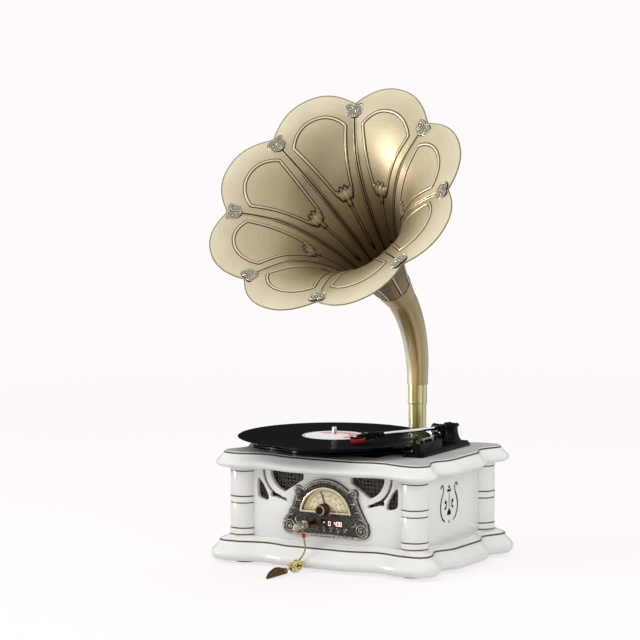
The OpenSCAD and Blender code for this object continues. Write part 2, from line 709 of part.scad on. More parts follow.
module key() color("tan") translate([lock_x, 0, lock_z]) {
    bow_y = key_neck_y - 6.5;
    translate([-0.6, plate_y - 2.6, -3]) cube([1.2, 16, 6]);
    translate([0, plate_y - 2.4, 0]) rotate([90, 0, 0]) rotate_extrude($fn = fine) polygon([
        [0, 0], [3.2, 0], [3.2, 6], [6, key_reach - 4], [6, key_reach - 1.3], [key_neck_r, key_reach - 0.8],
        [key_neck_r, key_reach + 8], [0, key_reach + 8]
    ]);
    translate([0, bow_y, 0]) rotate([0, 20, 0]) rotate([0, 90, 0]) translate([0, -13, -1.5]) linear_extrude(3)
        difference() {
            polygon([for (a = [0 : 10 : 350]) [8 * cos(a), 14 * sin(a) * (1 + 0.1 * cos(2 * a))]]);
            translate([0, -8]) circle(r = 2.2, $fn = 32);
        }
}

// Cord, bead, knot and tassel of the key
function spline(p, i, t) =
    let (a = p[max(i - 1, 0)], b = p[i], c = p[min(i + 1, len(p) - 1)], d = p[min(i + 2, len(p) - 1)])
    0.5 * (2 * b + (c - a) * t + (2 * a - 5 * b + 4 * c - d) * t * t + (3 * b - a - 3 * c + d) * t * t * t);
function smooth(p, n) = concat(
    [for (i = [0 : len(p) - 2], k = [0 : n - 1]) spline(p, i, k / n)], [p[len(p) - 1]]
);
function tube_rings(path, r, n) = [
    for (i = [0 : len(path) - 1])
        let (
            t = unit(path[min(i + 1, len(path) - 1)] - path[max(i - 1, 0)]),
            e = unit(cross([0, 1, 0], t)),
            f = cross(t, e)
        )
        [for (k = [0 : n - 1]) path[i] + r * (cos(360 * k / n) * e + sin(360 * k / n) * f)]
];
module key_cord() color("olive") loft(tube_rings(smooth(cord_route, 2), cord_r, cord_sides));
module key_bead() color("red") translate(bead_at) rotate([14, 22, 0]) rotate_extrude($fn = fine) intersection() {
    circle(r = bead_r, $fn = fine);
    translate([cord_r + 0.15, -bead_r]) square([bead_r, 2 * bead_r]);
}
module key_knot() color("goldenrod") translate(knot_at)
    rotate([0, acos(knot_dir[2] / norm(knot_dir)), atan2(knot_dir[1], knot_dir[0])])
        rotate_extrude($fn = fine) polygon([
            [0, -6], [2.4, -5.6], [4.6, -4], [knot_r, 0], [knot_r, 2], [knot_r - 0.7, 4], [knot_r - 0.7, 5.5],
            [knot_r, 7], [knot_r, 9.5], [knot_r - 0.7, 11], [knot_r - 0.7, 12.5], [knot_r, 14.5], [knot_r - 0.4, 17],
            [4.6, 19.4], [2.4, 21], [0, 21.4]
        ]);
module key_tassel() color("saddlebrown") loft([
    for (q = tassel_rings)
        let (y = tassel_from[1] - q[0], x = tassel_from[0] + tassel_drift * q[0] / 50)
        [for (a = [0 : 22.5 : 337.5]) [x + q[1] * cos(a), y, tassel_lift + q[2] + q[2] * sin(a)]]
]);

// Record deck
deck_outline = [
    [-152, -88], [-95, -104], [-52, -120], [12, -120], [95, -40], [95, 54], [78, 54], [78, 98], [-152, 98]
];
module deck_plate() color("black") difference() {
    union() {
        translate([0, 0, deck_z]) linear_extrude(deck_t) polygon(rounded(deck_outline, 12));
        translate([platter_x, platter_y, deck_z - 14]) cylinder(r = 9, h = 14 + deck_t + 1.4, $fn = fine);
    }
    translate([platter_x, platter_y, deck_z - 11]) cylinder(r = spindle_shank_r + shaft_gap, h = 30, $fn = fine);
    translate([motor_x, motor_y, deck_z - 1]) cylinder(r = 4, h = deck_t + 2, $fn = fine);
    translate([lever_x, lever_y, deck_z - 1]) cylinder(r = 1.5 + shaft_gap, h = deck_t + 2, $fn = fine);
    for (p = deck_screw_at) translate([p[0], p[1], deck_z - 1]) cylinder(r = 1.7, h = deck_t + 2, $fn = fine);
}
module on_spindle(z) translate([platter_x, platter_y, z]) children();
module platter() color("dimgray") on_spindle(platter_z) {
    h = platter_h;
    rotate_extrude($fn = fine) polygon([
        [spindle_seat_r + 0.05, 0], [hub_r, 0], [hub_r, h - 3.2], [drive_ring_r - 2.5, h - 3.2],
        [drive_ring_r - 2.5, 2.6], [drive_ring_r, 2.6], [drive_ring_r, h - 3.2], [platter_r - 3, h - 3.2],
        [platter_r - 3, 0], [platter_r - 1, 0], [platter_r, 1], [platter_r, h - 1.5], [platter_r - 1.5, h],
        [spindle_seat_r + 0.05, h]
    ]);
}
module slip_mat() color("darkslategray") on_spindle(platter_top) ring(platter_r - 2, spindle_seat_r + 0.1, mat_t);
module record() color("black") on_spindle(mat_top) rotate_extrude($fn = 180) polygon([
    [spindle_r + 0.05, 0], [record_r - 1, 0], [record_r, record_t / 2], [record_r - 1, record_t],
    [record_r - 4, record_t - 0.15], [label_r + 6, record_t - 0.15], [label_r + 4, record_t],
    [spindle_r + 0.05, record_t]
]);
module spindle() color("silver") on_spindle(deck_z - 10) {
    top = record_top + spindle_up - deck_z + 10;
    rotate_extrude($fn = fine) polygon([
        [0, 0], [spindle_shank_r, 0], [spindle_shank_r, deck_t + 11.5], [spindle_seat_r, deck_t + 11.7],
        [spindle_seat_r, top - spindle_up], [spindle_r, top - spindle_up], [spindle_r, top - 1.4],
        [spindle_r - 0.5, top - 0.5], [spindle_r - 1.6, top], [0, top]
    ]);
}
// A loop round two circles whose centres are d apart along +x, as one row of points
function loop_points(r1, r2, d) =
    let (lean = acos((r1 - r2) / d), n = 48, m = 16)
    concat(
        [for (i = [0 : n]) let (a = lean + (360 - 2 * lean) * i / n) [r1 * cos(a), r1 * sin(a)]],
        [for (i = [0 : m]) let (a = -lean + 2 * lean * i / m) [d + r2 * cos(a), r2 * sin(a)]]
    );
module drive_belt() color("black") on_spindle(platter_z + 4) rotate(motor_dir) difference() {
    linear_extrude(4.5) polygon(loop_points(drive_ring_r + belt_gap + belt_t, pulley_r + belt_gap + belt_t, motor_off));
    translate([0, 0, -1]) linear_extrude(6.5) polygon(loop_points(drive_ring_r + belt_gap, pulley_r + belt_gap, motor_off));
}
module motor() color("silver") translate([motor_x, motor_y, deck_z]) difference() {
    union() {
        translate([0, 0, -26]) cylinder(r = motor_r, h = 26, $fn = fine);
        cylinder(r = 3.6, h = deck_t + 0.5, $fn = fine);
    }
    translate([0, 0, -14]) cylinder(r = 1 + shaft_gap, h = 30, $fn = fine);
}
module motor_pulley() color("goldenrod") translate([motor_x, motor_y, 0]) {
    translate([0, 0, deck_z - 12]) cylinder(r = 1, h = 20, $fn = fine);
    translate([0, 0, platter_z + 3]) cylinder(r = pulley_r, h = 6.5, $fn = fine);
}
module speed_lever() color("black") translate([lever_x, lever_y, 0]) {
    translate([0, 0, deck_z]) cylinder(r = 1.5, h = 8, $fn = fine);
    translate([0, 0, deck_top + 0.3]) cylinder(r = 4, h = 5, $fn = fine);
    translate([0, 0, deck_top + 2.3]) linear_extrude(2.6) rotate(-110)
        polygon(rounded([[0, -2.4], [15, -1.8], [18, -2.6], [18, 2.6], [15, 1.8], [0, 2.4]], 1));
}

// Tonearm
module at_arm() translate([arm_x, arm_y, arm_z]) rotate(arm_turn) children();
module along_tube() at_arm() rotate(tube_yaw) rotate([0, 90 - tube_pitch, 0]) children();
module at_shell() at_arm() translate([collar_x, collar_y, arm_rise]) rotate(-shell_angle) rotate([0, shell_tilt, 0])
    children();
module arm_base() color("black") difference() {
    union() {
        translate([0, 0, deck_z]) linear_extrude(arm_base_t - 3) polygon(rounded([
            [104, -64], [133, -64], [137, -58], [137, 100], [82, 100], [82, 57], [104, 57]
        ], 3));
        translate([0, 0, base_plate_z - 3.01]) linear_extrude(3.01) polygon(rounded([
            [105.5, -62.5], [132, -62.5], [135, -57], [135, 98], [83.5, 98], [83.5, 58.5], [105.5, 58.5]
        ], 3));
        translate([119.5, -62, base_plate_z - 0.1]) cube([13.5, 72, block_top - base_plate_z + 0.1]);
        translate([arm_x, arm_y, base_plate_z - 0.1]) cylinder(r = 11, h = 8.1, $fn = fine);
        translate([rest_x, rest_y, block_top - 0.1]) cylinder(r = 2.1, h = rest_top - block_top + 0.1, $fn = fine);
        translate([rest_x - 3, rest_y - 2, rest_top - 2]) cube([6, 4, 2]);
        translate([rest_x + arm_tube_r + 0.45, rest_y - 2, rest_top - 2]) cube([1.6, 4, 6.5]);
        translate([rest_x + 2.9, rest_y - 2, rest_top - 2]) cube([1, 4, 2]);
        translate([cue_x + 2.2, cue_y - 3, block_top - 0.1]) cube([2.4, 6, 7]);
        translate([cue_x - 2, cue_y, cue_z]) rotate([0, 90, 0]) cylinder(r = 1.2, h = 6, $fn = fine);
    }
    translate([arm_x, arm_y, deck_z + 3.5]) cylinder(r = spindle_shank_r + shaft_gap, h = 20, $fn = fine);
}
rest_top = arm_z + arm_rise * (arm_y - rest_y) / arm_tube_len - arm_tube_r - 0.5;
function rounded_box(x0, y0, x1, y1, z) =
    [for (p = rounded([[x0, y0], [x1, y0], [x1, y1], [x0, y1]], 3)) [p[0], p[1], z]];
tower_flare = [
    [4.6, 0], [4.6, 2.5], [3.4, 4.5], [1.9, 7.5], [0.8, 12.5], [0, 19.5], [0, 24.4], [1.6, 25], [1.6, 27.5], [0.6, 29.5]
];
module arm_tower() color("black") loft([
    for (f = tower_flare)
        rounded_box(114 - f[0], 59.4 - f[0], 128 + f[0], 75.4 + f[0], base_plate_z + f[1])
]);
module arm_gimbal() color("black") at_arm() {
    cheek = 6.6;
    translate([0, 0, deck_z + 4 - arm_z]) cylinder(r = spindle_shank_r, h = 13, $fn = fine);
    translate([0, 0, -12]) cylinder(r = 12, h = 2.6, $fn = fine);
    for (s = [-1, 1]) difference() {
        translate([-6, s > 0 ? cheek : -cheek - 3, -9.5]) cube([12, 3, 15]);
        rotate([90, 0, 0]) cylinder(r = 1.5 + shaft_gap, h = 40, center = true, $fn = fine);
    }
}
module tone_arm() color("silver") {
    at_arm() {
        translate([-10, -6.2, -5]) cube([20, 12.4, 10]);
        rotate([90, 0, 0]) cylinder(r = 1.5, h = 19, center = true, $fn = fine);
        translate([-24.2, 0, 0]) rotate([0, 90, 0]) cylinder(r = 2.2, h = 19.2, $fn = fine);
    }
    along_tube() cylinder(r = arm_tube_r, h = arm_tube_len - 4, $fn = fine);
}
module counterweight() color("dimgray") at_arm() translate([-26, 0, 0]) rotate([0, 90, 0])
    difference() {
        rotate_extrude($fn = fine) polygon([
            [0, 0], [weight_r - 1, 0], [weight_r, 1], [weight_r, 10], [weight_r - 1, 11], [0, 11]
        ]);
        translate([0, 0, 1.5]) cylinder(r = 2.3, h = 12, $fn = fine);
    }
module headshell() color("black") {
    along_tube() translate([0, 0, arm_tube_len - 11.5]) difference() {
        cylinder(r = arm_tube_r + 0.9, h = 13.5, $fn = fine);
        translate([0, 0, -1]) cylinder(r = arm_tube_r + 0.1, h = 12.5, $fn = fine);
    }
    at_shell() {
        translate([0, 0, 0]) linear_extrude(2) polygon(rounded([
            [-1, -4], [12, -shell_w / 2], [shell_len - 1, -shell_w / 2], [shell_len, 0], [shell_len - 1, shell_w / 2],
            [12, shell_w / 2], [-1, 4]
        ], 2));
        translate([shell_len - 12, shell_w / 2 - 1, 0.4]) cube([3, 12, 1.2]);
    }
}
module cartridge() color("red") {
    body_l = 21;
    body_w = 12;
    body_h = 7;
    at_shell() {
        translate([shell_len - 1 - body_l, -body_w / 2, -body_h]) cube([body_l, body_w, body_h - 0.01]);
    }
    at_arm() translate([arm_len, 0, record_top + 0.3 - arm_z]) cylinder(r1 = 0.3, r2 = 1.2, h = 3.4, $fn = 24);
}
module lift_lever() color("beige") difference() {
    union() {
        translate([cue_x - 1.5, cue_y, cue_z]) rotate([0, 90, 0]) cylinder(r = 2.8, h = 3, $fn = fine);
        translate([cue_x - 1.5, cue_y - 38, cue_z - 1.6]) cube([3, 37, 2.4]);
    }
    translate([cue_x - 5, cue_y, cue_z]) rotate([0, 90, 0]) cylinder(r = 1.2 + shaft_gap, h = 10, $fn = fine);
}

// Horn
bore_r = tube_r - 2.2;
spigot_r = tube_r - 0.8;
module at_horn(z) translate([horn_x, horn_y, z]) children();
module horn_tube() color("darkkhaki") difference() {
    union() {
        at_horn(deck_z - top_skin) cylinder(r = tube_r, h = top_skin + tube_h, $fn = fine);
        at_horn(tube_top - 0.1) cylinder(r = spigot_r, h = 24, $fn = fine);
        at_horn(deck_z) rotate_extrude($fn = fine) polygon([
            [tube_r - 1, 0], [tube_r + 3, 0], [tube_r + 3, 2.4], [tube_r + 2, 3.6], [tube_r + 1, 5.2], [tube_r - 1, 5.2]
        ]);
    }
    at_horn(deck_z - top_skin + 3) cylinder(r = tube_r - 1.5, h = 27, $fn = fine);
    at_horn(deck_z) cylinder(r = bore_r, h = tube_h + 40, $fn = fine);
}
module horn_driver() color("gray") at_horn(deck_z - top_skin + 3) rotate_extrude($fn = fine) polygon([
    [0, 0], [tube_r - 1.8, 0], [tube_r - 1.8, 22], [tube_r - 4, 22], [8, 20], [4, 22.5], [0, 23.5]
]);
module horn_socket() color("darkkhaki") difference() {
    union() {
        at_horn(tube_top + 0.1) cylinder(r = socket_r, h = socket_h - 0.1, $fn = fine);
        at_horn(tube_top + 0.1) rotate_extrude($fn = fine) polygon([
            [socket_r - 1, 0], [socket_r + 0.2, 0], [socket_r + 0.5, 1.4], [socket_r + 0.5, 2.6], [socket_r + 0.2, 4],
            [socket_r - 1, 4]
        ]);
        at_horn(socket_top - 1) cylinder(r = socket_r - 0.6, h = 11, $fn = fine);
    }
    at_horn(tube_top - 1) cylinder(r = spigot_r + shaft_gap, h = 25.4, $fn = fine);
    at_horn(tube_top) cylinder(r = bore_r, h = socket_h + 40, $fn = fine);
}
function elbow_ring(a, z, r) = [
    for (k = [0 : elbow_steps - 1])
        let (t = 360 * k / elbow_steps)
        [
            horn_x + r * cos(t),
            horn_y - elbow_bend * (1 - cos(a)) + r * sin(t) * cos(a),
            z + elbow_bend * sin(a) + r * sin(t) * sin(a)
        ]
];
elbow_turns = 18;
function elbow_rings(cut) = concat(
    [elbow_ring(0, socket_top, elbow_low_r - cut)],
    [
        for (i = [0 : elbow_turns])
            let (t = i / elbow_turns)
            elbow_ring(elbow_sweep * t, bend_z, mix(elbow_low_r + 0.5, elbow_high_r, t) - cut)
    ]
);
module horn_elbow() color("peru") {
    outer = elbow_rings(0);
    inner = elbow_rings(elbow_wall);
    n = len(inner);
    loft_round(concat(outer, [for (i = [n - 1 : -1 : 0]) inner[i]]));
}
// A point of the bell in its own frame: petals bulge between the seams
lobe_in = 2.25;
lobe_out = 1.25;
function lobe(f) = pow(1 - pow(abs(f), lobe_in), lobe_out);
function petal_line_at(i, j) = mix(seam_line[i], petal_line[i], lobe(2 * j / petal_steps - 1));
// Half of the gap at a seam, as an angle at the radius r
function seam_angle(j, r) = (j == 0 ? 1 : j == petal_steps ? -1 : 0) * petal_gap / 2 / r * 180 / PI;
function petal_row(i, back) = [
    for (j = [0 : petal_steps])
        let (
            p = petal_line_at(i, j),
            t = unit(petal_line_at(min(i + 1, len(seam_line) - 1), j) - petal_line_at(max(i - 1, 0), j)),
            q = i == 0 ? p + [0, back] : p + back * [-t[1], t[0]],
            a = 360 / petals * (j / petal_steps - 0.5) + seam_angle(j, q[1])
        )
        [q[1] * cos(a), q[1] * sin(a), q[0]]
];
// A curved sheet between two grids of points, the inner and the outer one
module sheet(inner, outer) {
    m = len(inner);
    n = len(inner[0]);
    all = m * n;
    edge = concat(
        [for (j = [0 : n - 2]) j], [for (i = [0 : m - 2]) i * n + n - 1],
        [for (j = [n - 1 : -1 : 1]) (m - 1) * n + j], [for (i = [m - 1 : -1 : 1]) i * n]
    );
    polyhedron(
        points = concat([for (r = inner) each r], [for (r = outer) each r]),
        faces = concat(
            [
                for (i = [0 : m - 2], j = [0 : n - 2])
                    let (a = i * n + j, b = a + 1, c = a + n, d = c + 1)
                    each [[a, b, d], [a, d, c], [all + a, all + d, all + b], [all + a, all + c, all + d]]
            ],
            [
                for (k = [0 : len(edge) - 1])
                    let (a = edge[k], b = edge[(k + 1) % len(edge)])
                    each [[a, all + a, all + b], [a, all + b, b]]
            ]
        )
    );
}
module at_bell() translate([horn_x, joint_y, joint_z]) rotate([elbow_sweep, 0, 0]) children();
module horn_bell() color("tan") {
    rows = [0 : len(seam_line) - 1];
    at_bell() for (k = [0 : petals - 1]) rotate(bell_phase + 360 * (k + 0.5) / petals)
        sheet([for (i = rows) petal_row(i, 0)], [for (i = rows) petal_row(i, bell_wall)]);
}
module horn_badges() color("slategray") at_bell() for (k = [0 : petals - 1])
    rotate(bell_phase + 360 * k / petals) translate([badge_at_r, 0, badge_at_s]) rotate([0, badge_tilt, 0]) {
        for (s = [-1, 1]) translate([1, s * badge_spread, 0]) cylinder(r = badge_r, h = 5, $fn = fine);
        translate([-badge_drop, 0, 0.02]) cylinder(r = badge_r - 1, h = 4.96, $fn = fine);
    }

base_moulding();
bottom_panel();
top_board();
front_panel();
rear_panel();
left_panel();
right_panel();
column(-1, -1);  // column_front_left
column(1, -1);  // column_front_right
column(-1, 1);  // column_rear_left
column(1, 1);  // column_rear_right
feet();
grille_meshes();
lyre_meshes();
speaker_left();
speaker_right();
speaker_cones();
circuit_board();
rear_socket_plate();
rear_jacks();
screws();
escutcheon();
dial_bezel();
dial_face();
dial_pointer();
tuning_knob();
display_window();
push_button(0);  // button_1
push_button(1);  // button_2
push_button(2);  // button_3
push_button(3);  // button_4
key_lock();
key();
key_cord();
key_bead();
key_knot();
key_tassel();
deck_plate();
platter();
slip_mat();
record();
spindle();
drive_belt();
motor();
motor_pulley();
speed_lever();
arm_base();
arm_tower();
arm_gimbal();
tone_arm();
counterweight();
headshell();
cartridge();
lift_lever();
horn_tube();
horn_driver();
horn_socket();
horn_elbow();
horn_bell();
horn_badges();
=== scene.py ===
import math
import random

import bpy
import numpy as np
from mathutils import Matrix, Vector


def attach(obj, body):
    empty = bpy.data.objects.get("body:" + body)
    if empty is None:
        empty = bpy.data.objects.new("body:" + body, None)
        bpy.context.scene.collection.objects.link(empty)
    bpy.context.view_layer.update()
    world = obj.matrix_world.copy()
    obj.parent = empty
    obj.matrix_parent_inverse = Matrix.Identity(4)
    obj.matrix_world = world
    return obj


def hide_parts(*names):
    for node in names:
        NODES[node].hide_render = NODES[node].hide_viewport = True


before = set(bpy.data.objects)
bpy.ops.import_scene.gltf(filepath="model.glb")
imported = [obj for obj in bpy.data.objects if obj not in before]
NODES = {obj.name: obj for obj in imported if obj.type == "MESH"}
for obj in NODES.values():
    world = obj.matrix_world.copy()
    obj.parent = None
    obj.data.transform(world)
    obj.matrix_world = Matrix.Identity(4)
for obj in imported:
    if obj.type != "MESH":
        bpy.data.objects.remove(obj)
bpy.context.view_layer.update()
MM = 0.001
random.seed(7)

# Sizes from the part's source, in millimetres and degrees
FRONT_Y = 117.0
PLATE_Y = -121.0
DIAL_Z = 82.0
DIAL_PRINT_Z = 86.0
KNOB_Z = 94.0
BUTTON_X = -2.0
BUTTON_PITCH = 12.0
BUTTON_Z = 60.5
DISPLAY = (13.2, 71.5, 43.0, 12.4)
PLATTER = (-32.0, -35.5)
ARM_AT = (96, 72)
JOINT = (32.0, 60.0, 407.17)
SWEEP = 51.6
BELL_PHASE = 99.0
BELL_WALL = 1.2
PETALS = 8
PETAL_STEP = 360 / PETALS
HORN_X = 32.0
HORN_Y = 121.0
BEND_Z = 281.0
BEND_R = 161.0
SEAM_LINE = [
    (0, 22), (30, 27), (60, 32.5), (88, 39.5), (124, 50), (162, 65), (190, 80),
    (211, 95), (228, 111), (242, 133), (253, 155), (260, 172), (263, 183),
]
PETAL_LINE = [
    (0, 22), (30, 27), (60, 32.5), (88, 39.5), (124, 50.5), (163, 67), (193, 84),
    (216, 101), (235, 120), (253, 145), (265, 168), (271, 188), (272, 207),
]
RIM_T = len(SEAM_LINE) - 1.0
CORD_ROUTE = [
    (-21, -151, 66.7), (-18.2, -151.3, 68.6), (-17.4, -151.7, 71.2), (-18.8, -152.1, 74.6),
    (-22, -152.5, 75.9), (-25.2, -152.9, 74.6), (-26.7, -153.3, 71.2), (-25.6, -153.8, 67.8),
    (-23.2, -154.5, 65), (-21, -155.5, 62), (-18.8, -157, 57), (-16.8, -158.5, 51),
    (-14.6, -160, 45), (-13.4, -161, 39), (-14, -162, 33), (-16.2, -163, 27.5),
    (-19.5, -164, 22.5), (-23, -165.5, 18), (-26.3, -169.6, 12.3), (-30, -177, 9), (-32.8, -184, 5.9),
    (-32.7, -190, 5.1), (-33, -200, 5.6), (-33.3, -210, 5.6),
]
GRILLE_AT = (83.0, 121.0)
LYRE_AT = (-8.0, 98.2)
KNOT_AT = (-25.5, -168, 14.8)
KNOT_DIR = (-6.5, -13, -5.8)
TASSEL_AT = (-32.5, -187.0)

# The way across the photo from left to right, on the floor
ACROSS = (0.873, 0.487)
GOLDEN_TURN = 2.399963


def new_object(name, data):
    obj = bpy.data.objects.new(name, data)
    bpy.context.scene.collection.objects.link(obj)
    return obj


# Camera
def place_camera():
    """The photo's camera, fitted to the record, the cabinet's corners and the horn's rim."""
    data = bpy.data.cameras.new("camera")
    data.lens = 204.75
    data.sensor_width = 36
    data.clip_end = 50
    heading, pitch = math.radians(29.15), math.radians(6.11)
    level = math.cos(pitch)
    back = Vector((math.sin(heading) * level, -math.cos(heading) * level, math.sin(pitch)))
    right = Vector((math.cos(heading), math.sin(heading), 0))
    place = Matrix((right, back.cross(right), back)).transposed().to_4x4()
    place.translation = Vector((2.6825, -4.9483, 0.9766))
    cam = new_object("camera", data)
    cam.matrix_world = place
    bpy.context.scene.camera = cam


place_camera()


# Mesh helpers: a shape is a pair of points, in millimetres in the shared frame, and faces
def add_mesh(name, shape, material, body, smooth=True, ages_and_painted_light=None, key="wear_and_painted_shade"):
    verts, faces = shape
    mesh = bpy.data.meshes.new(name)
    mesh.from_pydata((np.asarray(verts, float) * MM).tolist(), [], faces)
    if smooth:
        mesh.polygons.foreach_set("use_smooth", [True] * len(mesh.polygons))
    if ages_and_painted_light is not None:
        mesh.attributes.new(key, "FLOAT", "POINT").data.foreach_set("value", np.asarray(ages_and_painted_light, np.float32))
    mesh.materials.append(material)
    mesh.validate()
    obj = new_object(name, mesh)
    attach(obj, body)
    return obj


class Bag:
    """Collects several closed shapes into one mesh, with a darkness for each point from 0, new, to 1, dark:
    how old and worn it is, and on some pieces painted shade and painted highlights.
    """

    def __init__(self):
        self.verts, self.faces, self.ages_and_painted_light = [], [], []

    def add(self, shape, age_and_painted_light=0.0):
        verts, faces = shape
        base = len(self.verts)
        self.verts += list(verts)
        self.faces += [tuple(base + i for i in f) for f in faces]
        self.ages_and_painted_light += list(np.broadcast_to(age_and_painted_light, len(verts)))

    def put(self, name, material, body, smooth=True, key="wear_and_painted_shade"):
        return add_mesh(name, (self.verts, self.faces), material, body, smooth, self.ages_and_painted_light, key)


def unit(v):
    v = np.asarray(v, float)
    n = np.linalg.norm(v, axis=-1, keepdims=True)
    return v / np.where(n < 1e-12, 1, n)


def circle(sides):
    return np.arange(sides) * 2 * math.pi / sides


def points(x, y, z):
    return np.stack(np.broadcast_arrays(x, y, z), -1)


def rotation(axis, degrees):
    return np.array(Matrix.Rotation(math.radians(degrees), 3, axis))


def by_matrix(matrix):
    """A function that moves points by a matrix."""
    m = np.array(matrix)
    return lambda p: np.asarray(p, float) @ m[:3, :3].T + m[:3, 3]


def moved(place, shape):
    verts, faces = shape
    return place(verts), faces


def catmull(rows, t):
    """Catmull-Rom through the rows, at places t counted in rows."""
    rows = np.asarray(rows, float)
    t = np.clip(np.asarray(t, float), 0, len(rows) - 1)
    i = np.minimum(t.astype(int), len(rows) - 2)
    u = (t - i)[..., None]
    a, b = rows[np.maximum(i - 1, 0)], rows[i]
    c, d = rows[i + 1], rows[np.minimum(i + 2, len(rows) - 1)]
    return 0.5 * (2 * b + (c - a) * u + (2 * a - 5 * b + 4 * c - d) * u**2 + (3 * b - a - 3 * c + d) * u**3)


def spline(rows, steps):
    return catmull(rows, np.arange((len(rows) - 1) * steps + 1) / steps)


def smoothed(line):
    """A closed line of points or distances, smoothed twice."""
    for _ in range(2):
        line = (np.roll(line, 1, 0) + 2 * line + np.roll(line, -1, 0)) / 4
    return line


def tangents(path, closed=False):
    return unit(np.roll(path, -1, 0) - np.roll(path, 1, 0)) if closed else unit(np.gradient(path, axis=0))


def normals(path, closed):
    """Two normals carried along a path."""
    t = tangents(path, closed)
    n = np.zeros_like(path)
    start = np.cross(t[0], (0, 0, 1.0))
    if np.linalg.norm(start) < 1e-3:
        start = np.cross(t[0], (1.0, 0, 0))
    n[0] = unit(start)
    for i in range(1, len(path)):
        n[i] = unit(n[i - 1] - t[i] * (n[i - 1] @ t[i]))
    return n, np.cross(t, n)


def skin(rows, sides, closed=False, flip=False, caps=True):
    """Faces over rows of points, each row a ring. Closed joins the last row to the first."""
    faces = []
    for i in range(rows if closed else rows - 1):
        k = (i + 1) % rows
        for j in range(sides):
            q = (j + 1) % sides
            faces.append((i * sides + j, i * sides + q, k * sides + q, k * sides + j))
    if caps and not closed:
        faces += [tuple(range(sides))[::-1], tuple(range((rows - 1) * sides, rows * sides))]
    return [(f[0], *f[:0:-1]) for f in faces] if flip else faces


def tube(path, radius, sides=8, closed=False, twist=0.0, lobes=0, depth=0.0):
    """A tube along a path; radius may be a list. Lobes give it grooves that turn with the twist."""
    p = np.asarray(path, float)
    r = np.broadcast_to(np.asarray(radius, float), len(p))[:, None]
    n, b = normals(p, closed)
    gone = np.concatenate([[0], np.cumsum(np.linalg.norm(np.diff(p, axis=0), axis=1))])[:, None]
    a = circle(sides)
    r = r * (1 - depth * (1 + np.cos(lobes * (a - twist * gone))) / 2)
    verts = p[:, None] + r[..., None] * (np.cos(a)[:, None] * n[:, None] + np.sin(a)[:, None] * b[:, None])
    return verts.reshape(-1, 3), skin(len(p), sides, closed)


def lathe(profile, at=(0, 0, 0), axis=(0, 0, 1), sides=64):
    """A closed profile of (radius, height) turned round an axis."""
    axis = unit(axis)
    x = unit(np.cross(axis, (0, 0, 1) if abs(axis[2]) < 0.9 else (0, 1, 0)))
    y = np.cross(axis, x)
    verts = [np.asarray(at) + axis * h + r * (math.cos(a) * x + math.sin(a) * y)
             for a in circle(sides) for r, h in profile]
    return verts, skin(sides, len(profile), closed=True, flip=True)


def slab(outline, z0, z1, bevel=0.4):
    """A flat plate lying down: outline of (x, y), from z0 to z1, with a small edge bevel at z1."""
    o = np.asarray(outline, float)
    d = tangents(o, closed=True)
    area = np.sum(o[:, 0] * np.roll(o[:, 1], -1) - np.roll(o[:, 0], -1) * o[:, 1])
    inward = np.stack([-d[:, 1], d[:, 0]], 1) * np.sign(area)
    edge = z1 + math.copysign(bevel, z0 - z1)
    rings = [(o, z0), (o, edge), (o + inward * bevel, z1)]
    verts = [(x, y, z) for ring, z in rings for x, y in ring]
    return verts, skin(3, len(o), flip=(area > 0) == (z1 < z0))


def prism(outline, rise):
    """A solid between a flat outline and the same outline moved by rise."""
    outline = np.asarray(outline, float)
    return np.concatenate([outline, outline + rise]), skin(2, len(outline))


# Materials
class Nodes:
    """Builds one node tree. An input is a number, a tuple or another node's output."""

    def __init__(self, tree):
        self.tree = tree

    def node(self, kind, *inputs, **settings):
        n = self.tree.nodes.new(kind)
        for key, value in settings.items():
            setattr(n, key, value)
        for value, target in zip(inputs, n.inputs):
            self.wire(value, target)
        return n

    def wire(self, source, target):
        if isinstance(source, (int, float)):
            target.default_value = source
        elif isinstance(source, tuple):
            target.default_value = (*source, 1.0) if len(source) == 3 and target.type == "RGBA" else source
        else:
            self.tree.links.new(source, target)

    def fill(self, n, **inputs):
        for key, value in inputs.items():
            self.wire(value, n.inputs[key.replace("_", " ")])
        return n.outputs[0]

    def math(self, op, *values):
        return self.node("ShaderNodeMath", *values, operation=op).outputs[0]

    def add(self, a, b):
        return self.math("ADD", a, b)

    def sub(self, a, b):
        return self.math("SUBTRACT", a, b)

    def mul(self, a, b):
        return self.math("MULTIPLY", a, b)

    def below(self, a, b):
        return self.math("LESS_THAN", a, b)

    def near(self, a, b, within):
        return self.math("COMPARE", a, b, within)

    def size(self, a):
        return self.math("ABSOLUTE", a)

    def largest(self, values):
        out = values[0]
        for value in values[1:]:
            out = self.math("MAXIMUM", out, value)
        return out

    def length(self, a, b):
        return self.math("SQRT", self.add(self.mul(a, a), self.mul(b, b)))

    def span(self, value, a, b, c=0.0, d=1.0, curve="LINEAR"):
        return self.node("ShaderNodeMapRange", value, a, b, c, d, interpolation_type=curve).outputs[0]

    def soft_span(self, *values):
        return self.span(*values, "SMOOTHSTEP")

    def choose(self, factor, a, b):
        return self.node("ShaderNodeMixShader", factor, a, b).outputs[0]


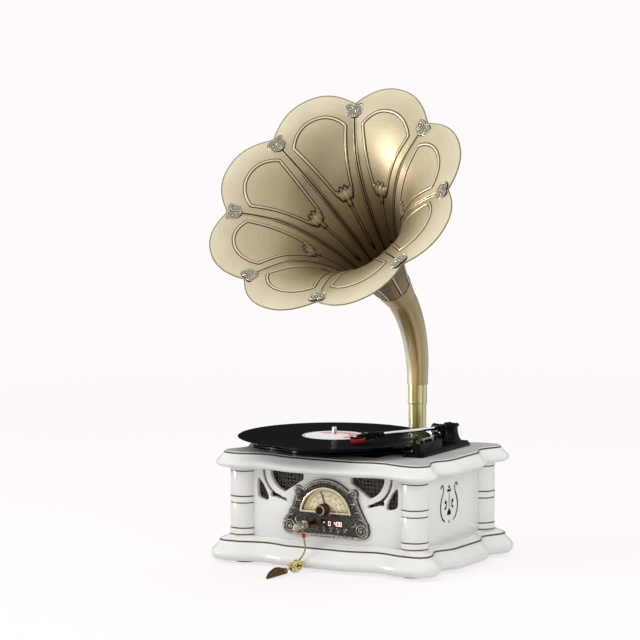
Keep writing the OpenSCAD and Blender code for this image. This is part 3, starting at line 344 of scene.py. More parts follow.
class Paint(Nodes):
    """A node material around one Principled shader."""

    def __init__(self, name, rough=0.5, metal=0.0, **fixed):
        self.mat = bpy.data.materials.new(name)
        self.mat.use_nodes = True
        super().__init__(self.mat.node_tree)
        self.shader = self.tree.nodes["Principled BSDF"]
        self.set(Roughness=rough, Metallic=metal, **fixed)
        self.coords = self.node("ShaderNodeTexCoord").outputs["Object"]

    def set(self, **inputs):
        self.fill(self.shader, **inputs)

    def mix(self, factor, a, b, blend="MIX"):
        n = self.node("ShaderNodeMix", data_type="RGBA", blend_type=blend)
        for value, target in ((factor, 0), (a, 6), (b, 7)):
            self.wire(value, n.inputs[target])
        return n.outputs[2]

    def ramp(self, value, stops):
        n = self.node("ShaderNodeValToRGB", value)
        e = n.color_ramp.elements
        while len(e) < len(stops):
            e.new(0.5)
        for item, (at, colour) in zip(e, stops):
            item.position = at
            item.color = (*colour, 1.0)
        return n.outputs[0]

    def value(self, name):
        return self.node("ShaderNodeAttribute", attribute_name=name).outputs["Fac"]

    def move(self, source, place=(0, 0, 0), turn=(0, 0, 0), scale=(1, 1, 1)):
        return self.node("ShaderNodeMapping", source, place, turn, scale).outputs[0]

    def axes(self, source=None):
        return self.node("ShaderNodeSeparateXYZ", source or self.coords).outputs

    def axes_from(self, x, y, z):
        """The three distances from a point given in millimetres."""
        return self.axes(self.move(self.coords, place=(-x * MM, -y * MM, -z * MM)))

    def noise(self, scale, detail=3.0, stretch=None, distortion=0.0, coords=None):
        source = coords or self.coords
        if stretch:
            source = self.move(source, scale=stretch)
        n = self.node("ShaderNodeTexNoise", source)
        return self.fill(n, Scale=scale, Detail=detail, Distortion=distortion)

    def uneven(self, scale, detail, low, high):
        """A noise that runs from low to high."""
        return self.span(self.noise(scale, detail), 0.3, 0.7, low, high)

    def bump(self, height, strength=0.3, distance=0.0002):
        return self.fill(self.node("ShaderNodeBump"), Strength=strength, Distance=distance, Height=height)

    def grain(self, scale, strength, detail=2):
        return self.bump(self.noise(scale, detail), strength)


def plain(name, base, worn, rough=0.4, metal=0.0, scale=60, grain=900, bump=0.15, spread=0.12, **fixed):
    """Two close tones in a soft pattern, uneven gloss and a fine grain."""
    p = Paint(name, rough, metal, **fixed)
    p.set(Base_Color=p.mix(p.span(p.noise(scale, 4), 0.35, 0.7), base, worn),
          Roughness=p.uneven(scale * 3, 3, rough - spread / 2, rough + spread / 2),
          Normal=p.grain(grain, bump))
    return p.mat


def lacquer(name, lines=(), half=0.7, cut_shade_within=0.0):
    """White gloss lacquer, with gold lines painted at fixed heights and painted shade, near black, on the
    walls inside the lyre's cut-out.
    """
    p = Paint(name, 0.22, 0.0, Coat_Weight=0.35, Coat_Roughness=0.08)
    base = p.mix(p.span(p.noise(9, 3), 0.3, 0.75), (0.80, 0.795, 0.775), (0.765, 0.76, 0.73))
    rough = p.uneven(25, 2, 0.18, 0.27)
    x, y, z = p.axes()
    if cut_shade_within:
        # Painted shade: the walls inside the lyre's cut-out are darkened to near black
        shaded_wall = p.below(p.size(x), cut_shade_within * MM)
        middle = p.below(p.size(p.sub(y, LYRE_AT[0] * MM)), 0.036)
        base = p.mix(p.mul(shaded_wall, middle), base, (0.035, 0.028, 0.022))
    if lines:
        height = p.add(z, p.uneven(40, 2, -0.15 * MM, 0.15 * MM))
        away = [p.size(p.sub(height, h * MM)) for h in lines]
        gold = p.largest([p.span(a, (half - 0.15) * MM, half * MM, 1.0, 0.0) for a in away])
        core = p.largest([p.span(a, (half - 0.65) * MM, (half - 0.35) * MM, 1.0, 0.0) for a in away])
        leaf = p.mix(p.noise(300, 2), (0.20, 0.155, 0.065), (0.36, 0.30, 0.16))
        base = p.mix(gold, base, p.mix(core, leaf, (0.040, 0.030, 0.014)))
        rough = p.add(rough, p.mul(gold, 0.15))
        p.set(Metallic=p.mul(gold, 0.35))
    p.set(Base_Color=base, Roughness=rough, Normal=p.bump(p.noise(120, 2), 0.04, 0.0004))
    return p.mat


def brass(name, stops, rough=0.3, scale=700, tint=0.02, flecks=0.12, lay="rings", metal=0.92):
    """Brushed antique brass: tones from the stops, with fine brush lines.

    The lines run round the bell (rings), up the tube (tube) or along the bend (bend). On the bell the tone
    follows the tarnish
    of its points, with painted shade and painted highlights on its raised lines. Tube and bend carry painted
    reflections:
    the stops give bright and dark streaks from side to side, and the bend is darker towards its top."""
    p = Paint(name, rough, metal, Anisotropic=0.25)
    if lay == "rings":
        from_joint = p.move(p.coords, place=tuple(-c * MM for c in JOINT))
        x, y, z = p.axes(p.move(from_joint, turn=(-math.radians(SWEEP), 0, 0)))
        lines = (p.length(x, y), p.mul(z, 0.3), p.mul(x, 0.04))
        age_and_painted_light = p.value("patina_and_painted_light")
    else:
        x, y, z = p.axes_from(HORN_X, HORN_Y - BEND_R, BEND_Z)
        away = y if lay == "tube" else p.length(y, z)
        lines = (x, away, p.mul(z, 0.03))
        # Painted reflections: on the tube and the bend the tone is chosen by the side, from left to right as
        # seen from the front
        off = p.sub(away, BEND_R * MM)
        side = p.add(p.mul(x, ACROSS[0]), p.mul(off, ACROSS[1]))
        age_and_painted_light = p.math("MULTIPLY_ADD", p.math("DIVIDE", side, p.length(x, off)), 0.5, 0.5)
    brush = p.noise(scale, 2, coords=p.node("ShaderNodeCombineXYZ", *lines).outputs[0])
    colour = p.ramp(p.add(age_and_painted_light, p.uneven(16, 4, -tint, tint)), stops)
    if lay == "bend":
        colour = p.mix(p.span(z, 0.035, 0.115, 0.0, 0.70), colour, (0.29, 0.19, 0.08))
    colour = p.mix(p.span(brush, 0.35, 0.65, 0.0, flecks), colour, (0.10, 0.075, 0.04), "MULTIPLY")
    p.set(Base_Color=colour, Roughness=p.span(brush, 0.3, 0.7, rough - 0.03, rough + 0.05),
          Normal=p.bump(brush, 0.05))
    return p.mat


# Painted reflections on the tube and the elbow: bright and dark streaks from the left edge to the right
TUBE_PAINTED_REFLECTIONS = [(0, (0.25, 0.21, 0.09)), (0.05, (0.85, 0.82, 0.54)), (0.17, (0.88, 0.85, 0.56)),
                (0.22, (0.40, 0.34, 0.13)), (0.36, (0.66, 0.55, 0.22)), (0.45, (0.38, 0.28, 0.09)),
                (0.54, (0.62, 0.48, 0.18)), (0.62, (0.88, 0.82, 0.46)), (0.72, (0.90, 0.86, 0.54)),
                (0.77, (0.26, 0.21, 0.07)), (0.83, (0.80, 0.76, 0.46)), (0.93, (0.70, 0.65, 0.36)),
                (1, (0.20, 0.16, 0.06))]
ELBOW_PAINTED_REFLECTIONS = [(0, (0.30, 0.27, 0.20)), (0.05, (0.88, 0.85, 0.68)), (0.15, (0.90, 0.87, 0.70)),
                 (0.24, (0.78, 0.64, 0.33)), (0.36, (0.76, 0.56, 0.25)), (0.44, (0.66, 0.46, 0.19)),
                 (0.49, (0.28, 0.18, 0.07)), (0.54, (0.46, 0.33, 0.15)), (0.64, (0.54, 0.42, 0.23)),
                 (0.72, (0.40, 0.31, 0.17)), (0.84, (0.48, 0.40, 0.25)), (0.94, (0.56, 0.50, 0.35)),
                 (1, (0.26, 0.23, 0.16))]
BELL_TONES = [(0.0, (0.87, 0.79, 0.61)), (0.3, (0.58, 0.505, 0.335)), (0.55, (0.43, 0.345, 0.21)),
              (0.8, (0.21, 0.15, 0.08)), (1.0, (0.045, 0.030, 0.017))]
BADGE_TONES = [(0.0, (0.64, 0.61, 0.50)), (0.3, (0.44, 0.41, 0.33)), (0.55, (0.22, 0.20, 0.155)),
               (0.8, (0.05, 0.045, 0.035)), (1.0, (0.015, 0.013, 0.010))]


def board():
    """Plain wood, its grain along x."""
    p = Paint("plain_board", 0.65)
    p.set(Base_Color=p.ramp(p.noise(30, 5, stretch=(1, 12, 12), distortion=0.6),
                            [(0.3, (0.30, 0.19, 0.10)), (0.7, (0.46, 0.31, 0.17))]),
          Normal=p.bump(p.noise(200, 3, stretch=(1, 10, 10)), 0.3, 0.0003))
    return p.mat


def pewter():
    """Cast metal: an almost black field with fine scrolls and specks painted bright on top, as highlights on
    their relief.
    """
    p = Paint("pewter_scrolls", 0.45, 0.7, Specular_IOR_Level=0.3)
    lines = p.near(p.noise(330, 1.5, distortion=2.2), 0.5, 0.045)
    specks = p.span(p.noise(900, 2), 0.54, 0.66)
    height = p.add(p.mul(lines, 0.65), p.mul(specks, 0.5))
    # Painted highlight: the higher a scroll or speck, the paler its tone
    tone = p.ramp(height, [(0.0, (0.007, 0.0065, 0.006)), (0.40, (0.016, 0.015, 0.013)),
                           (0.7, (0.12, 0.112, 0.095)), (1.0, (0.46, 0.44, 0.39))])
    p.set(Base_Color=tone, Roughness=p.span(height, 0.0, 1.0, 0.6, 0.35), Normal=p.bump(height, 0.6, 0.0005))
    return p.mat


def worn_metal(name, stops, rough=0.36):
    p = Paint(name, rough, 0.95)
    age_and_painted_light = p.add(p.value("wear_and_painted_shade"), p.uneven(260, 3, -0.06, 0.06))
    p.set(Base_Color=p.ramp(age_and_painted_light, stops), Roughness=p.span(age_and_painted_light, 0, 1, rough - 0.08, rough + 0.2),
          Normal=p.grain(900, 0.1, 3))
    return p.mat


def knob_material():
    """Dark bronze with a darker face and a bright ring round it."""
    p = Paint("knob_bronze", 0.35, 0.9)
    x, _, z = p.axes_from(0, 0, KNOB_Z)
    r = p.length(x, z)
    tone = p.mix(p.noise(200, 3), (0.055, 0.036, 0.022), (0.12, 0.08, 0.045))
    tone = p.mix(p.below(r, 0.0062), tone, (0.020, 0.015, 0.012))
    ring = p.near(r, 0.0072, 0.0007)
    p.set(Base_Color=p.mix(ring, tone, (0.55, 0.46, 0.30)), Normal=p.grain(900, 0.2))
    return p.mat


def key_material():
    """Pale worn metal on the bow, almost black on the barrel and the bit."""
    p = Paint("key_metal", 0.28, 0.9)
    pale = p.mix(p.span(p.noise(160, 3), 0.35, 0.7), (0.86, 0.82, 0.70), (0.45, 0.38, 0.26))
    black = p.mix(p.noise(200, 3), (0.012, 0.010, 0.009), (0.07, 0.058, 0.045))
    barrel = p.span(p.axes()[1], -0.1445, -0.1425)
    p.set(Base_Color=p.mix(barrel, pale, black), Normal=p.grain(700, 0.12))
    return p.mat


def arm_material():
    """Polished tube, with the block at the pivot and the stub behind it black."""
    p = Paint("arm_chrome", 0.08)
    x, y, _ = p.axes_from(*ARM_AT, 0)
    black = p.largest([p.below(p.length(x, y), 0.0135), p.below(0.002, y)])
    bright = p.mix(p.noise(60, 4), (0.96, 0.96, 0.96), (0.86, 0.86, 0.87))
    p.set(Base_Color=p.mix(black, bright, (0.006, 0.006, 0.0065)), Metallic=p.sub(1.0, black),
          Roughness=p.uneven(180, 3, 0.06, 0.11))
    return p.mat


def vinyl_material():
    """Grooves with gaps between the tracks, and a paper label with plain bands of colour."""
    p = Paint("record_vinyl", 0.28, Specular_IOR_Level=0.012)
    x, y, _ = p.axes_from(*PLATTER, 0)
    r = p.length(x, y)
    grooves = p.math("SINE", p.mul(r, 2 * math.pi / 0.0011))
    gaps = p.largest([p.near(r, at * MM, 0.0006) for at in (58, 73, 91, 104, 121, 136)])
    in_track = p.mul(p.mul(p.below(0.056, r), p.below(r, 0.146)), p.sub(1.0, gaps))
    label = p.below(r, 0.050)
    upper = p.below(-0.1, p.math("SINE", p.add(p.math("ARCTAN2", y, x), 0.5)))
    band = p.mul(p.near(r, 0.031, 0.0085), upper)
    paper = p.mix(p.noise(60, 3), (0.86, 0.84, 0.83), (0.78, 0.75, 0.735))
    paper = p.mix(p.mul(band, 0.75), paper, (0.52, 0.25, 0.23))
    paper = p.mix(p.near(r, 0.0475, 0.0008), paper, (0.35, 0.10, 0.09))
    black = p.mix(p.noise(18, 3), (0.003, 0.003, 0.0036), (0.006, 0.006, 0.007))
    rough = p.mix(label, p.mix(in_track, (0.12,) * 3, (0.30,) * 3), (0.6,) * 3)
    p.set(Base_Color=p.mix(label, black, paper), Roughness=rough,
          Normal=p.bump(p.mul(grooves, in_track), 0.45, 0.00012))
    return p.mat


def mesh_material(name, axis, middle, height, bright):
    """Near black metal mesh with painted highlights where the wires cross: small bright dots in a slanted
    lattice.

    Axis 0 is for the front, whose two meshes mirror each other, and 1 for the sides."""
    p = Paint(name, 0.4, 0.3, Specular_IOR_Level=0.3)
    out = p.axes()
    along = p.sub(p.size(out[0]) if axis == 0 else out[1], middle * MM)
    up = p.sub(out[2], height * MM)
    pitch, slant = 5.2, math.sqrt(0.5)
    half = pitch * slant / 2 * MM
    u, v = [p.math("PINGPONG", p.math("MULTIPLY_ADD", way, slant, half), half)
            for way in (p.add(along, up), p.sub(along, up))]
    # Painted highlight: the bright tone, the last argument, goes on dots where the wires cross
    crossing_highlight = p.span(p.length(u, v), 0.4 * MM, 0.85 * MM, 1.0, 0.0)
    dark = p.mix(p.noise(300, 2), (0.008, 0.005, 0.004), (0.022, 0.014, 0.011))
    p.set(Base_Color=p.mix(crossing_highlight, dark, bright), Normal=p.bump(crossing_highlight, 0.4, 0.0004))
    return p.mat


def dial_material():
    """A cream card, browner towards its edge and inside its smallest arc."""
    p = Paint("dial_print", 0.45, Coat_Weight=0.2)
    x, _, z = p.axes_from(0, 0, DIAL_Z)
    r = p.length(x, z)
    card = p.mix(p.span(r, 0.012, 0.044), (1.0, 0.90, 0.62), (0.84, 0.71, 0.44))
    card = p.mix(p.span(p.noise(70, 4), 0.45, 0.8, 0, 0.5), card, (0.50, 0.39, 0.22))
    card = p.mix(p.mul(p.below(r, 0.0185), 0.35), card, (0.34, 0.26, 0.15))
    p.set(Base_Color=card, Normal=p.grain(800, 0.08))
    return p.mat


def thread_material(name, light, dark, turns=1500, low=0.3):
    p = Paint(name, 0.62, Sheen_Weight=0.06, Specular_IOR_Level=0.3)
    tone = p.mix(p.span(p.noise(turns, 3), low, low + 0.35), dark, light)
    p.set(Base_Color=p.mix(p.value("wear_and_painted_shade"), tone, dark), Normal=p.grain(turns, 0.4))
    return p.mat


def glow(name, colour, strength):
    p = Paint(name, 0.4)
    tone = p.mix(p.noise(900, 2), colour, tuple(c * 0.85 for c in colour))
    p.set(Base_Color=tone, Emission_Color=tone, Emission_Strength=strength)
    return p.mat


def glass_material():
    p = Paint("display_glass", 0.08, Coat_Weight=0.4)
    p.set(Base_Color=p.mix(p.noise(40, 2), (0.010, 0.004, 0.004), (0.030, 0.008, 0.007)),
          Roughness=p.uneven(60, 2, 0.05, 0.12))
    return p.mat


BLACK_GLOSS = plain("black_plastic", (0.003, 0.003, 0.0034), (0.006, 0.006, 0.0066), 0.14, grain=1200,
                    bump=0.03, Specular_IOR_Level=0.07)
BLACK_SATIN = plain("black_satin", (0.005, 0.005, 0.0055), (0.010, 0.0097, 0.0097), 0.36, grain=1500,
                    bump=0.2, Specular_IOR_Level=0.10)
RUBBER = plain("rubber_black", (0.010, 0.010, 0.010), (0.020, 0.019, 0.018), 0.75, grain=1500, bump=0.4,
               Specular_IOR_Level=0.2)
STEEL = plain("bright_steel", (0.55, 0.55, 0.56), (0.40, 0.40, 0.41), 0.3, 1.0)
CHROME = plain("polished_chrome", (0.96, 0.96, 0.96), (0.86, 0.86, 0.87), 0.07, 1.0, grain=300, bump=0.02,
               spread=0.04)
GOLD = plain("gold_contact", (0.75, 0.55, 0.22), (0.55, 0.38, 0.14), 0.28, 1.0)
PAPER = plain("cone_paper", (0.03, 0.03, 0.032), (0.055, 0.05, 0.05), 0.85, grain=1800, bump=0.6)
GREEN = plain("board_green", (0.01, 0.09, 0.03), (0.02, 0.15, 0.06), 0.45, scale=200)
FELT = plain("felt_black", (0.012, 0.012, 0.012), (0.03, 0.03, 0.03), 0.95, grain=3000, bump=0.7)
RED = plain("red_plastic", (0.42, 0.012, 0.010), (0.30, 0.008, 0.008), 0.28, grain=1200, bump=0.08)
BEAD_RED = plain("bead_red", (0.46, 0.010, 0.008), (0.22, 0.006, 0.005), 0.18, scale=260, Coat_Weight=0.5)
CREAM = plain("cream_plastic", (0.36, 0.32, 0.20), (0.17, 0.15, 0.09), 0.35, grain=1500)
WHITE_PLASTIC = plain("white_plastic", (0.75, 0.75, 0.73), (0.65, 0.65, 0.62), 0.35)
COPPER = plain("lock_copper", (0.22, 0.050, 0.028), (0.09, 0.024, 0.015), 0.35, 1.0, scale=300)
BEZEL = plain("bezel_gold", (0.80, 0.72, 0.50), (0.60, 0.50, 0.30), 0.25, 1.0, scale=150)
BUTTON = plain("button_metal", (0.46, 0.41, 0.38), (0.24, 0.20, 0.18), 0.35, 1.0, scale=300)
PEWTER_RUBBED = plain("pewter_rubbed", (0.62, 0.60, 0.53), (0.16, 0.15, 0.125), 0.34, 0.9, scale=260,
                      bump=0.2)
PEWTER_DARK = plain("pewter_dark", (0.05, 0.047, 0.040), (0.13, 0.12, 0.10), 0.45, 0.9, scale=240, bump=0.3)
INK = plain("dial_ink", (0.035, 0.022, 0.012), (0.07, 0.045, 0.025), 0.6)
DIGITS = glow("display_digits", (0.95, 0.72, 0.66), 1.6)
# Painted light: the printed button labels glow, though they are no lamp
LABEL_PAINTED_GLOW = glow("label_painted_glow", (0.86, 0.70, 0.67), 0.9)
BADGE_METAL = worn_metal("badge_metal", BADGE_TONES)
TUBE_BRASS = brass("tube_brass", TUBE_PAINTED_REFLECTIONS, tint=0.012, lay="tube", metal=0.6)
ELBOW_BRASS = brass("elbow_brass", ELBOW_PAINTED_REFLECTIONS, flecks=0.15, lay="bend", metal=0.6)
BELL_BRASS = brass("bell_brass", BELL_TONES, 0.44, 1500, tint=0.05, flecks=0.10)
TRACERY_BRASS = brass("tracery_brass", BELL_TONES, 0.40, 1500, tint=0.03, flecks=0.08)
CORD_GOLD = thread_material("cord_thread", (0.46, 0.38, 0.17), (0.11, 0.078, 0.026))
KNOT_GOLD = thread_material("knot_thread", (1.0, 0.88, 0.42), (0.10, 0.055, 0.012), low=0.18)
TASSEL_BROWN = thread_material("tassel_thread", (0.46, 0.26, 0.07), (0.028, 0.010, 0.004), 900)

DRESS = (
    (lacquer("white_lacquer"), "front_panel rear_panel"),
    (lacquer("white_lacquer_side_cut_shade", cut_shade_within=154.3), "left_panel right_panel"),
    (lacquer("white_lacquer_base", (35.5,), 1.4), "base_moulding"),
    (lacquer("white_lacquer_top", (172.4,), 1.35), "top_board"),
    (lacquer("white_lacquer_column", (44.0, 54, 93.5, 103.9, 143.5), 1.15),
     "column_front_left column_front_right column_rear_left column_rear_right"),
    # The last colour given to each mesh is its painted highlight
    (mesh_material("front_mesh_painted_highlights", 0, *GRILLE_AT, (0.50, 0.39, 0.33)), "grille_meshes"),
    (mesh_material("lyre_mesh_painted_highlights", 1, *LYRE_AT, (0.10, 0.075, 0.06)), "lyre_meshes"),
    (board(), "bottom_panel"), (RUBBER, "feet drive_belt"), (PAPER, "speaker_cones"),
    (GREEN, "circuit_board"), (GOLD, "rear_jacks motor_pulley"), (STEEL, "screws motor"),
    (pewter(), "escutcheon"), (BEZEL, "dial_bezel"), (dial_material(), "dial_face"), (INK, "dial_pointer"),
    (knob_material(), "tuning_knob"), (glass_material(), "display_window"),
    (BUTTON, "button_1 button_2 button_3 button_4"), (COPPER, "key_lock"), (key_material(), "key"),
    (CORD_GOLD, "key_cord"), (BEAD_RED, "key_bead"), (KNOT_GOLD, "key_knot"), (TASSEL_BROWN, "key_tassel"),
    (BLACK_GLOSS, "deck_plate speed_lever arm_base arm_tower headshell"),
    (BLACK_SATIN, "speaker_left speaker_right rear_socket_plate platter arm_gimbal"),
    (BLACK_SATIN, "counterweight horn_driver"),
    (FELT, "slip_mat"), (vinyl_material(), "record"), (CHROME, "spindle"), (arm_material(), "tone_arm"),
    (RED, "cartridge"), (CREAM, "lift_lever"), (TUBE_BRASS, "horn_tube horn_socket"),
    (ELBOW_BRASS, "horn_elbow"), (BELL_BRASS, "horn_bell"), (PEWTER_RUBBED, "horn_badges"),
)
NODE_MATERIALS = {name: material for material, names in DRESS for name in names.split()}
SOFT_EDGES = {
    "front_panel": 0.8, "rear_panel": 0.4, "left_panel": 0.6, "right_panel": 0.6, "escutcheon": 0.5,
    "arm_base": 0.6, "deck_plate": 0.5, "headshell": 0.25, "cartridge": 0.35, "key": 0.25, "lift_lever": 0.3,
    "dial_bezel": 0.5, "arm_gimbal": 0.4, "rear_socket_plate": 0.3, "circuit_board": 0.2,
}


def dress_node(name, obj):
    """Gives a CAD node its material, smooth shading with sharp edges, and a small bevel if it has one."""
    obj.data.materials.clear()
    obj.data.materials.append(NODE_MATERIALS[name])
    obj.data.polygons.foreach_set("use_smooth", [True] * len(obj.data.polygons))
    weld = obj.modifiers.new("weld", "WELD")
    weld.merge_threshold = 0.00001
    if name in SOFT_EDGES:
        bevel = obj.modifiers.new("soft_edges", "BEVEL")
        bevel.width = SOFT_EDGES[name] * MM
        bevel.segments = 2
        bevel.limit_method = "ANGLE"
        bevel.angle_limit = math.radians(40)
        bevel.use_clamp_overlap = True
    split = obj.modifiers.new("sharp_edges", "EDGE_SPLIT")
    split.split_angle = math.radians(38)


for node_name, node_object in NODES.items():
    dress_node(node_name, node_object)


# The key's cord, a two-ply twist, with its knot and tassel
def key_cord():
    path = spline(CORD_ROUTE, 7)
    shape = tube(path, 1.4, 12, twist=1.1, lobes=2, depth=0.28)
    cord = add_mesh("cord_twist", shape, CORD_GOLD, "cabinet")
    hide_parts("key_cord")
    return cord, path


def key_knot():
    """A blocky bunch of cord loops round a dark core, painted shade that shows in the gaps between them, tied
    between the cord and the tassel.
    """
    d = unit(KNOT_DIR)
    x = unit(np.cross(d, (0, 0, 1)))
    axes = np.array([d, x, np.cross(d, x)])
    mid = np.array(KNOT_AT) + d * 6.2 + (4.6, 0.8, -1.4)
    half = np.array([12.6, 11.4, 9.2])
    bag = Bag()
    # Painted shade: the core is fully dark so the gaps between the loops read as shade
    bag.add(lathe([(0.01, -9.5), (4, -8), (6.2, -3), (6.2, 3), (4, 8), (0.01, 9.5)], mid, d, 20), 1.0)
    loops, t = 36, circle(16)
    for k in range(loops):
        up = 1 - 2 * (k + 0.5) / loops
        flat = math.sqrt(1 - up * up)
        way = np.array([up, flat * math.cos(k * GOLDEN_TURN), flat * math.sin(k * GOLDEN_TURN)])
        way = np.sign(way) * np.abs(way) ** 0.5
        way = way / max(np.linalg.norm(way), 1.0)
        seat = mid + (way * half * 0.80) @ axes
        out = unit((way / half) @ axes)
        lean = d + 0.7 * random.uniform(-1, 1) * axes[1] + 0.7 * random.uniform(-1, 1) * axes[2]
        side = unit(np.cross(out, unit(lean)))
        long, wide = random.uniform(3.0, 3.9), random.uniform(1.7, 2.4)
        path = seat + np.outer(wide * np.cos(t), side) + np.outer(long * np.sin(t), np.cross(out, side)) \
            + np.outer(1.1 * np.cos(2 * t) + 0.5, out)
        path[:, 2] = np.maximum(path[:, 2], 1.4)
        bag.add(tube(path, 0.72, 6, closed=True), random.choice((0.0, 0.05, 0.45)))
    ends = [np.array(KNOT_AT) + d * h for h in (-5.5, -3.5, -1.5, 15, 18.5, 21)]
    bag.add(tube(spline(ends[:3], 3), [1.5, 1.6, 1.8, 2.2, 2.6, 3.0, 3.2], 10))
    bag.add(tube(spline(ends[3:], 3), [3.2, 3.0, 2.8, 2.6, 2.4, 2.3, 2.2], 10))
    knot = bag.put("knot_weave", KNOT_GOLD, "cabinet")
    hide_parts("key_knot")
    return knot


def key_tassel():
    """Some two hundred threads from the tassel's bound head to its tip on the floor."""
    bag = Bag()
    x0, y0 = TASSEL_AT
    along, wide, high = np.array([(0, 3.2, 3.2), (4, 4.3, 4.3), (8, 4.4, 4.2), (15, 6.8, 5.9), (28, 8.4, 6.9),
                                  (42, 7.6, 5.6), (53, 4.8, 3.2), (57.6, 2.2, 1.5)]).T
    threads = 230
    for i in range(threads):
        rho = math.sqrt((i + 0.5) / threads)
        cx, cz = rho * math.cos(i * GOLDEN_TURN), rho * math.sin(i * GOLDEN_TURN)
        s = along * (1 - 0.10 * random.random() * (1.2 - abs(cx)) - 0.10 * abs(cx))
        bend = random.uniform(-0.4, 0.4)
        z = 0.75 + high + cz * high * 0.95
        path = spline(points(x0 - 1.5 * s / 50 + cx * wide + bend * s / 58, y0 - s, np.maximum(z, 0.8)), 2)
        shade = 0.05 if random.random() < 0.30 else 0.45 + 0.55 * random.random()
        # Painted shade: threads on the lower side of the tassel are made darker; the line above gives each
        # thread its own random tone
        shade = min(1.0, shade + 0.5 * max(0.0, -0.15 - cz))
        bag.add(tube(path, np.linspace(0.42, 0.30, len(path)), 4), shade)
    a = circle(28)
    for s, w in ((3.2, 4.6), (4.4, 4.7), (5.6, 4.5), (6.8, 4.2)):
        ring = points(x0 - 0.03 * s + w * np.cos(a), y0 - s, 0.95 + w + w * 0.98 * np.sin(a))
        bag.add(tube(ring, 0.6, 6, closed=True))
    tassel = bag.put("tassel_threads", TASSEL_BROWN, "cabinet")
    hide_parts("key_tassel")
    return tassel


cord, cord_path = key_cord()
knot = key_knot()
tassel = key_tassel()


# The bell: t runs from 0 at the throat to RIM_T at the rim, and angles are in degrees in the bell's frame
def across(angle):
    """Place across a petal, from -1 at one seam to 1 at the next."""
    return 2 * np.mod((np.asarray(angle, float) - BELL_PHASE) / PETAL_STEP, 1) - 1


def bell_line(t, angle):
    """Distance along the bell's axis and from it."""
    w = (np.clip(1 - np.abs(across(angle)) ** 2.25, 0, 1) ** 1.25)[..., None]
    return catmull(SEAM_LINE, t) * (1 - w) + catmull(PETAL_LINE, t) * w


TILT = rotation("X", SWEEP)


def to_world(p):
    return np.asarray(p, float) @ TILT.T + np.array(JOINT)


def bell_local(t, angle):
    line, a = bell_line(t, angle), np.radians(angle)
    return points(line[..., 1] * np.cos(a), line[..., 1] * np.sin(a), line[..., 0])


def bell_point(t, angle, lift=0.0):
    """A point of the bell's inner face, lifted off it by lift, and the normal there."""
    t, angle = np.asarray(t, float), np.asarray(angle, float)
    dt, da = 0.02, 0.15
    ct = np.clip(t, dt, RIM_T - dt)
    du = bell_local(ct + dt, angle) - bell_local(ct - dt, angle)
    dv = bell_local(t, angle + da) - bell_local(t, angle - da)
    n = unit(np.cross(du, dv))
    p = bell_local(t, angle)
    inward = -p * np.array([1, 1, 0])
    flip = np.sign(np.sum(n * inward, -1, keepdims=True))
    n = n * np.where(flip == 0, 1, flip)
    return to_world(p + n * np.asarray(lift)[..., None]), n @ TILT.T


def patina_at(t, angle):
    """How old the brass inside the bell looks: dark in the throat and near the seams, bright at the rim."""
    r = bell_line(t, angle)[..., 1]
    age_and_painted_light = np.interp(r, [22, 36, 50, 66, 84, 105, 135, 207], [0.58, 0.55, 0.54, 0.53, 0.52, 0.49, 0.39, 0.03])
    return age_and_painted_light + 0.08 * np.abs(across(angle)) ** 6 * np.clip((190 - r) / 120, 0, 1)


def bell():
    columns, rows = PETALS * 44, 97
    t = np.linspace(0, RIM_T, rows)[:, None] + np.zeros(columns)
    angle = BELL_PHASE + np.arange(columns) * 360 / columns + np.zeros((rows, 1))
    front, normal = bell_point(t, angle)
    back = front - normal * BELL_WALL
    r = bell_line(t, angle)[..., 1]
    outside = np.interp(r, [22, 30, 38, 50, 70, 140], [0.66, 0.74, 0.88, 0.90, 0.60, 0.30])
    verts = np.concatenate([front, back[::-1]]).reshape(-1, 3)
    ages_and_painted_light = np.concatenate([patina_at(t, angle), outside[::-1]]).ravel()
    obj = add_mesh("bell_petals", (verts, skin(2 * rows, columns, closed=True)), BELL_BRASS, "horn_body",
                   ages_and_painted_light=ages_and_painted_light, key="patina_and_painted_light")
    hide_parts("horn_bell")


def ribbon(bag, t, angle, section, back=False):
    """A moulded line that lies on the bell: section is a list of (offset, height, darker), where darker adds
    painted shade at the feet and, below zero, a painted highlight on top.
    """
    p, n = bell_point(t, angle)
    if back:
        p, n = p - n * BELL_WALL, -n
    side = unit(np.cross(tangents(p), n))
    off, high, darker = np.array(section).T
    verts = p[:, None] + side[:, None] * off[:, None] + n[:, None] * high[:, None]
    ages_and_painted_light = np.minimum(1.0, patina_at(t, angle)[:, None] + darker)
    bag.add((verts.reshape(-1, 3), skin(len(p), len(section), flip=True)), ages_and_painted_light.ravel())


def mirrored(right, middle=()):
    """A section given by its right half and the points on its middle line."""
    return [(-x, z, darker) for x, z, darker in right[::-1]] + list(middle) + right


def bead_section(half, high, skirt=1.2):
    """A rounded moulding with dark feet as painted shade and a lighter top as a painted highlight, closed
    under the surface.
    """
    right = [(half * 0.75, high * 0.7, -0.1), (half, 0.16, 0.9), (half + skirt, 0.12, 0.95),
             (half + skirt, -0.3, 0.95)]
    return mirrored(right, [(0, high, -0.3)])


def t_of_radius(radius, angle):
    lo = np.zeros_like(radius)
    hi = np.full_like(radius, RIM_T)
    for _ in range(26):
        mid = (lo + hi) / 2
        small = bell_line(mid, angle)[..., 1] < radius
        lo, hi = np.where(small, mid, lo), np.where(small, hi, mid)
    return (lo + hi) / 2


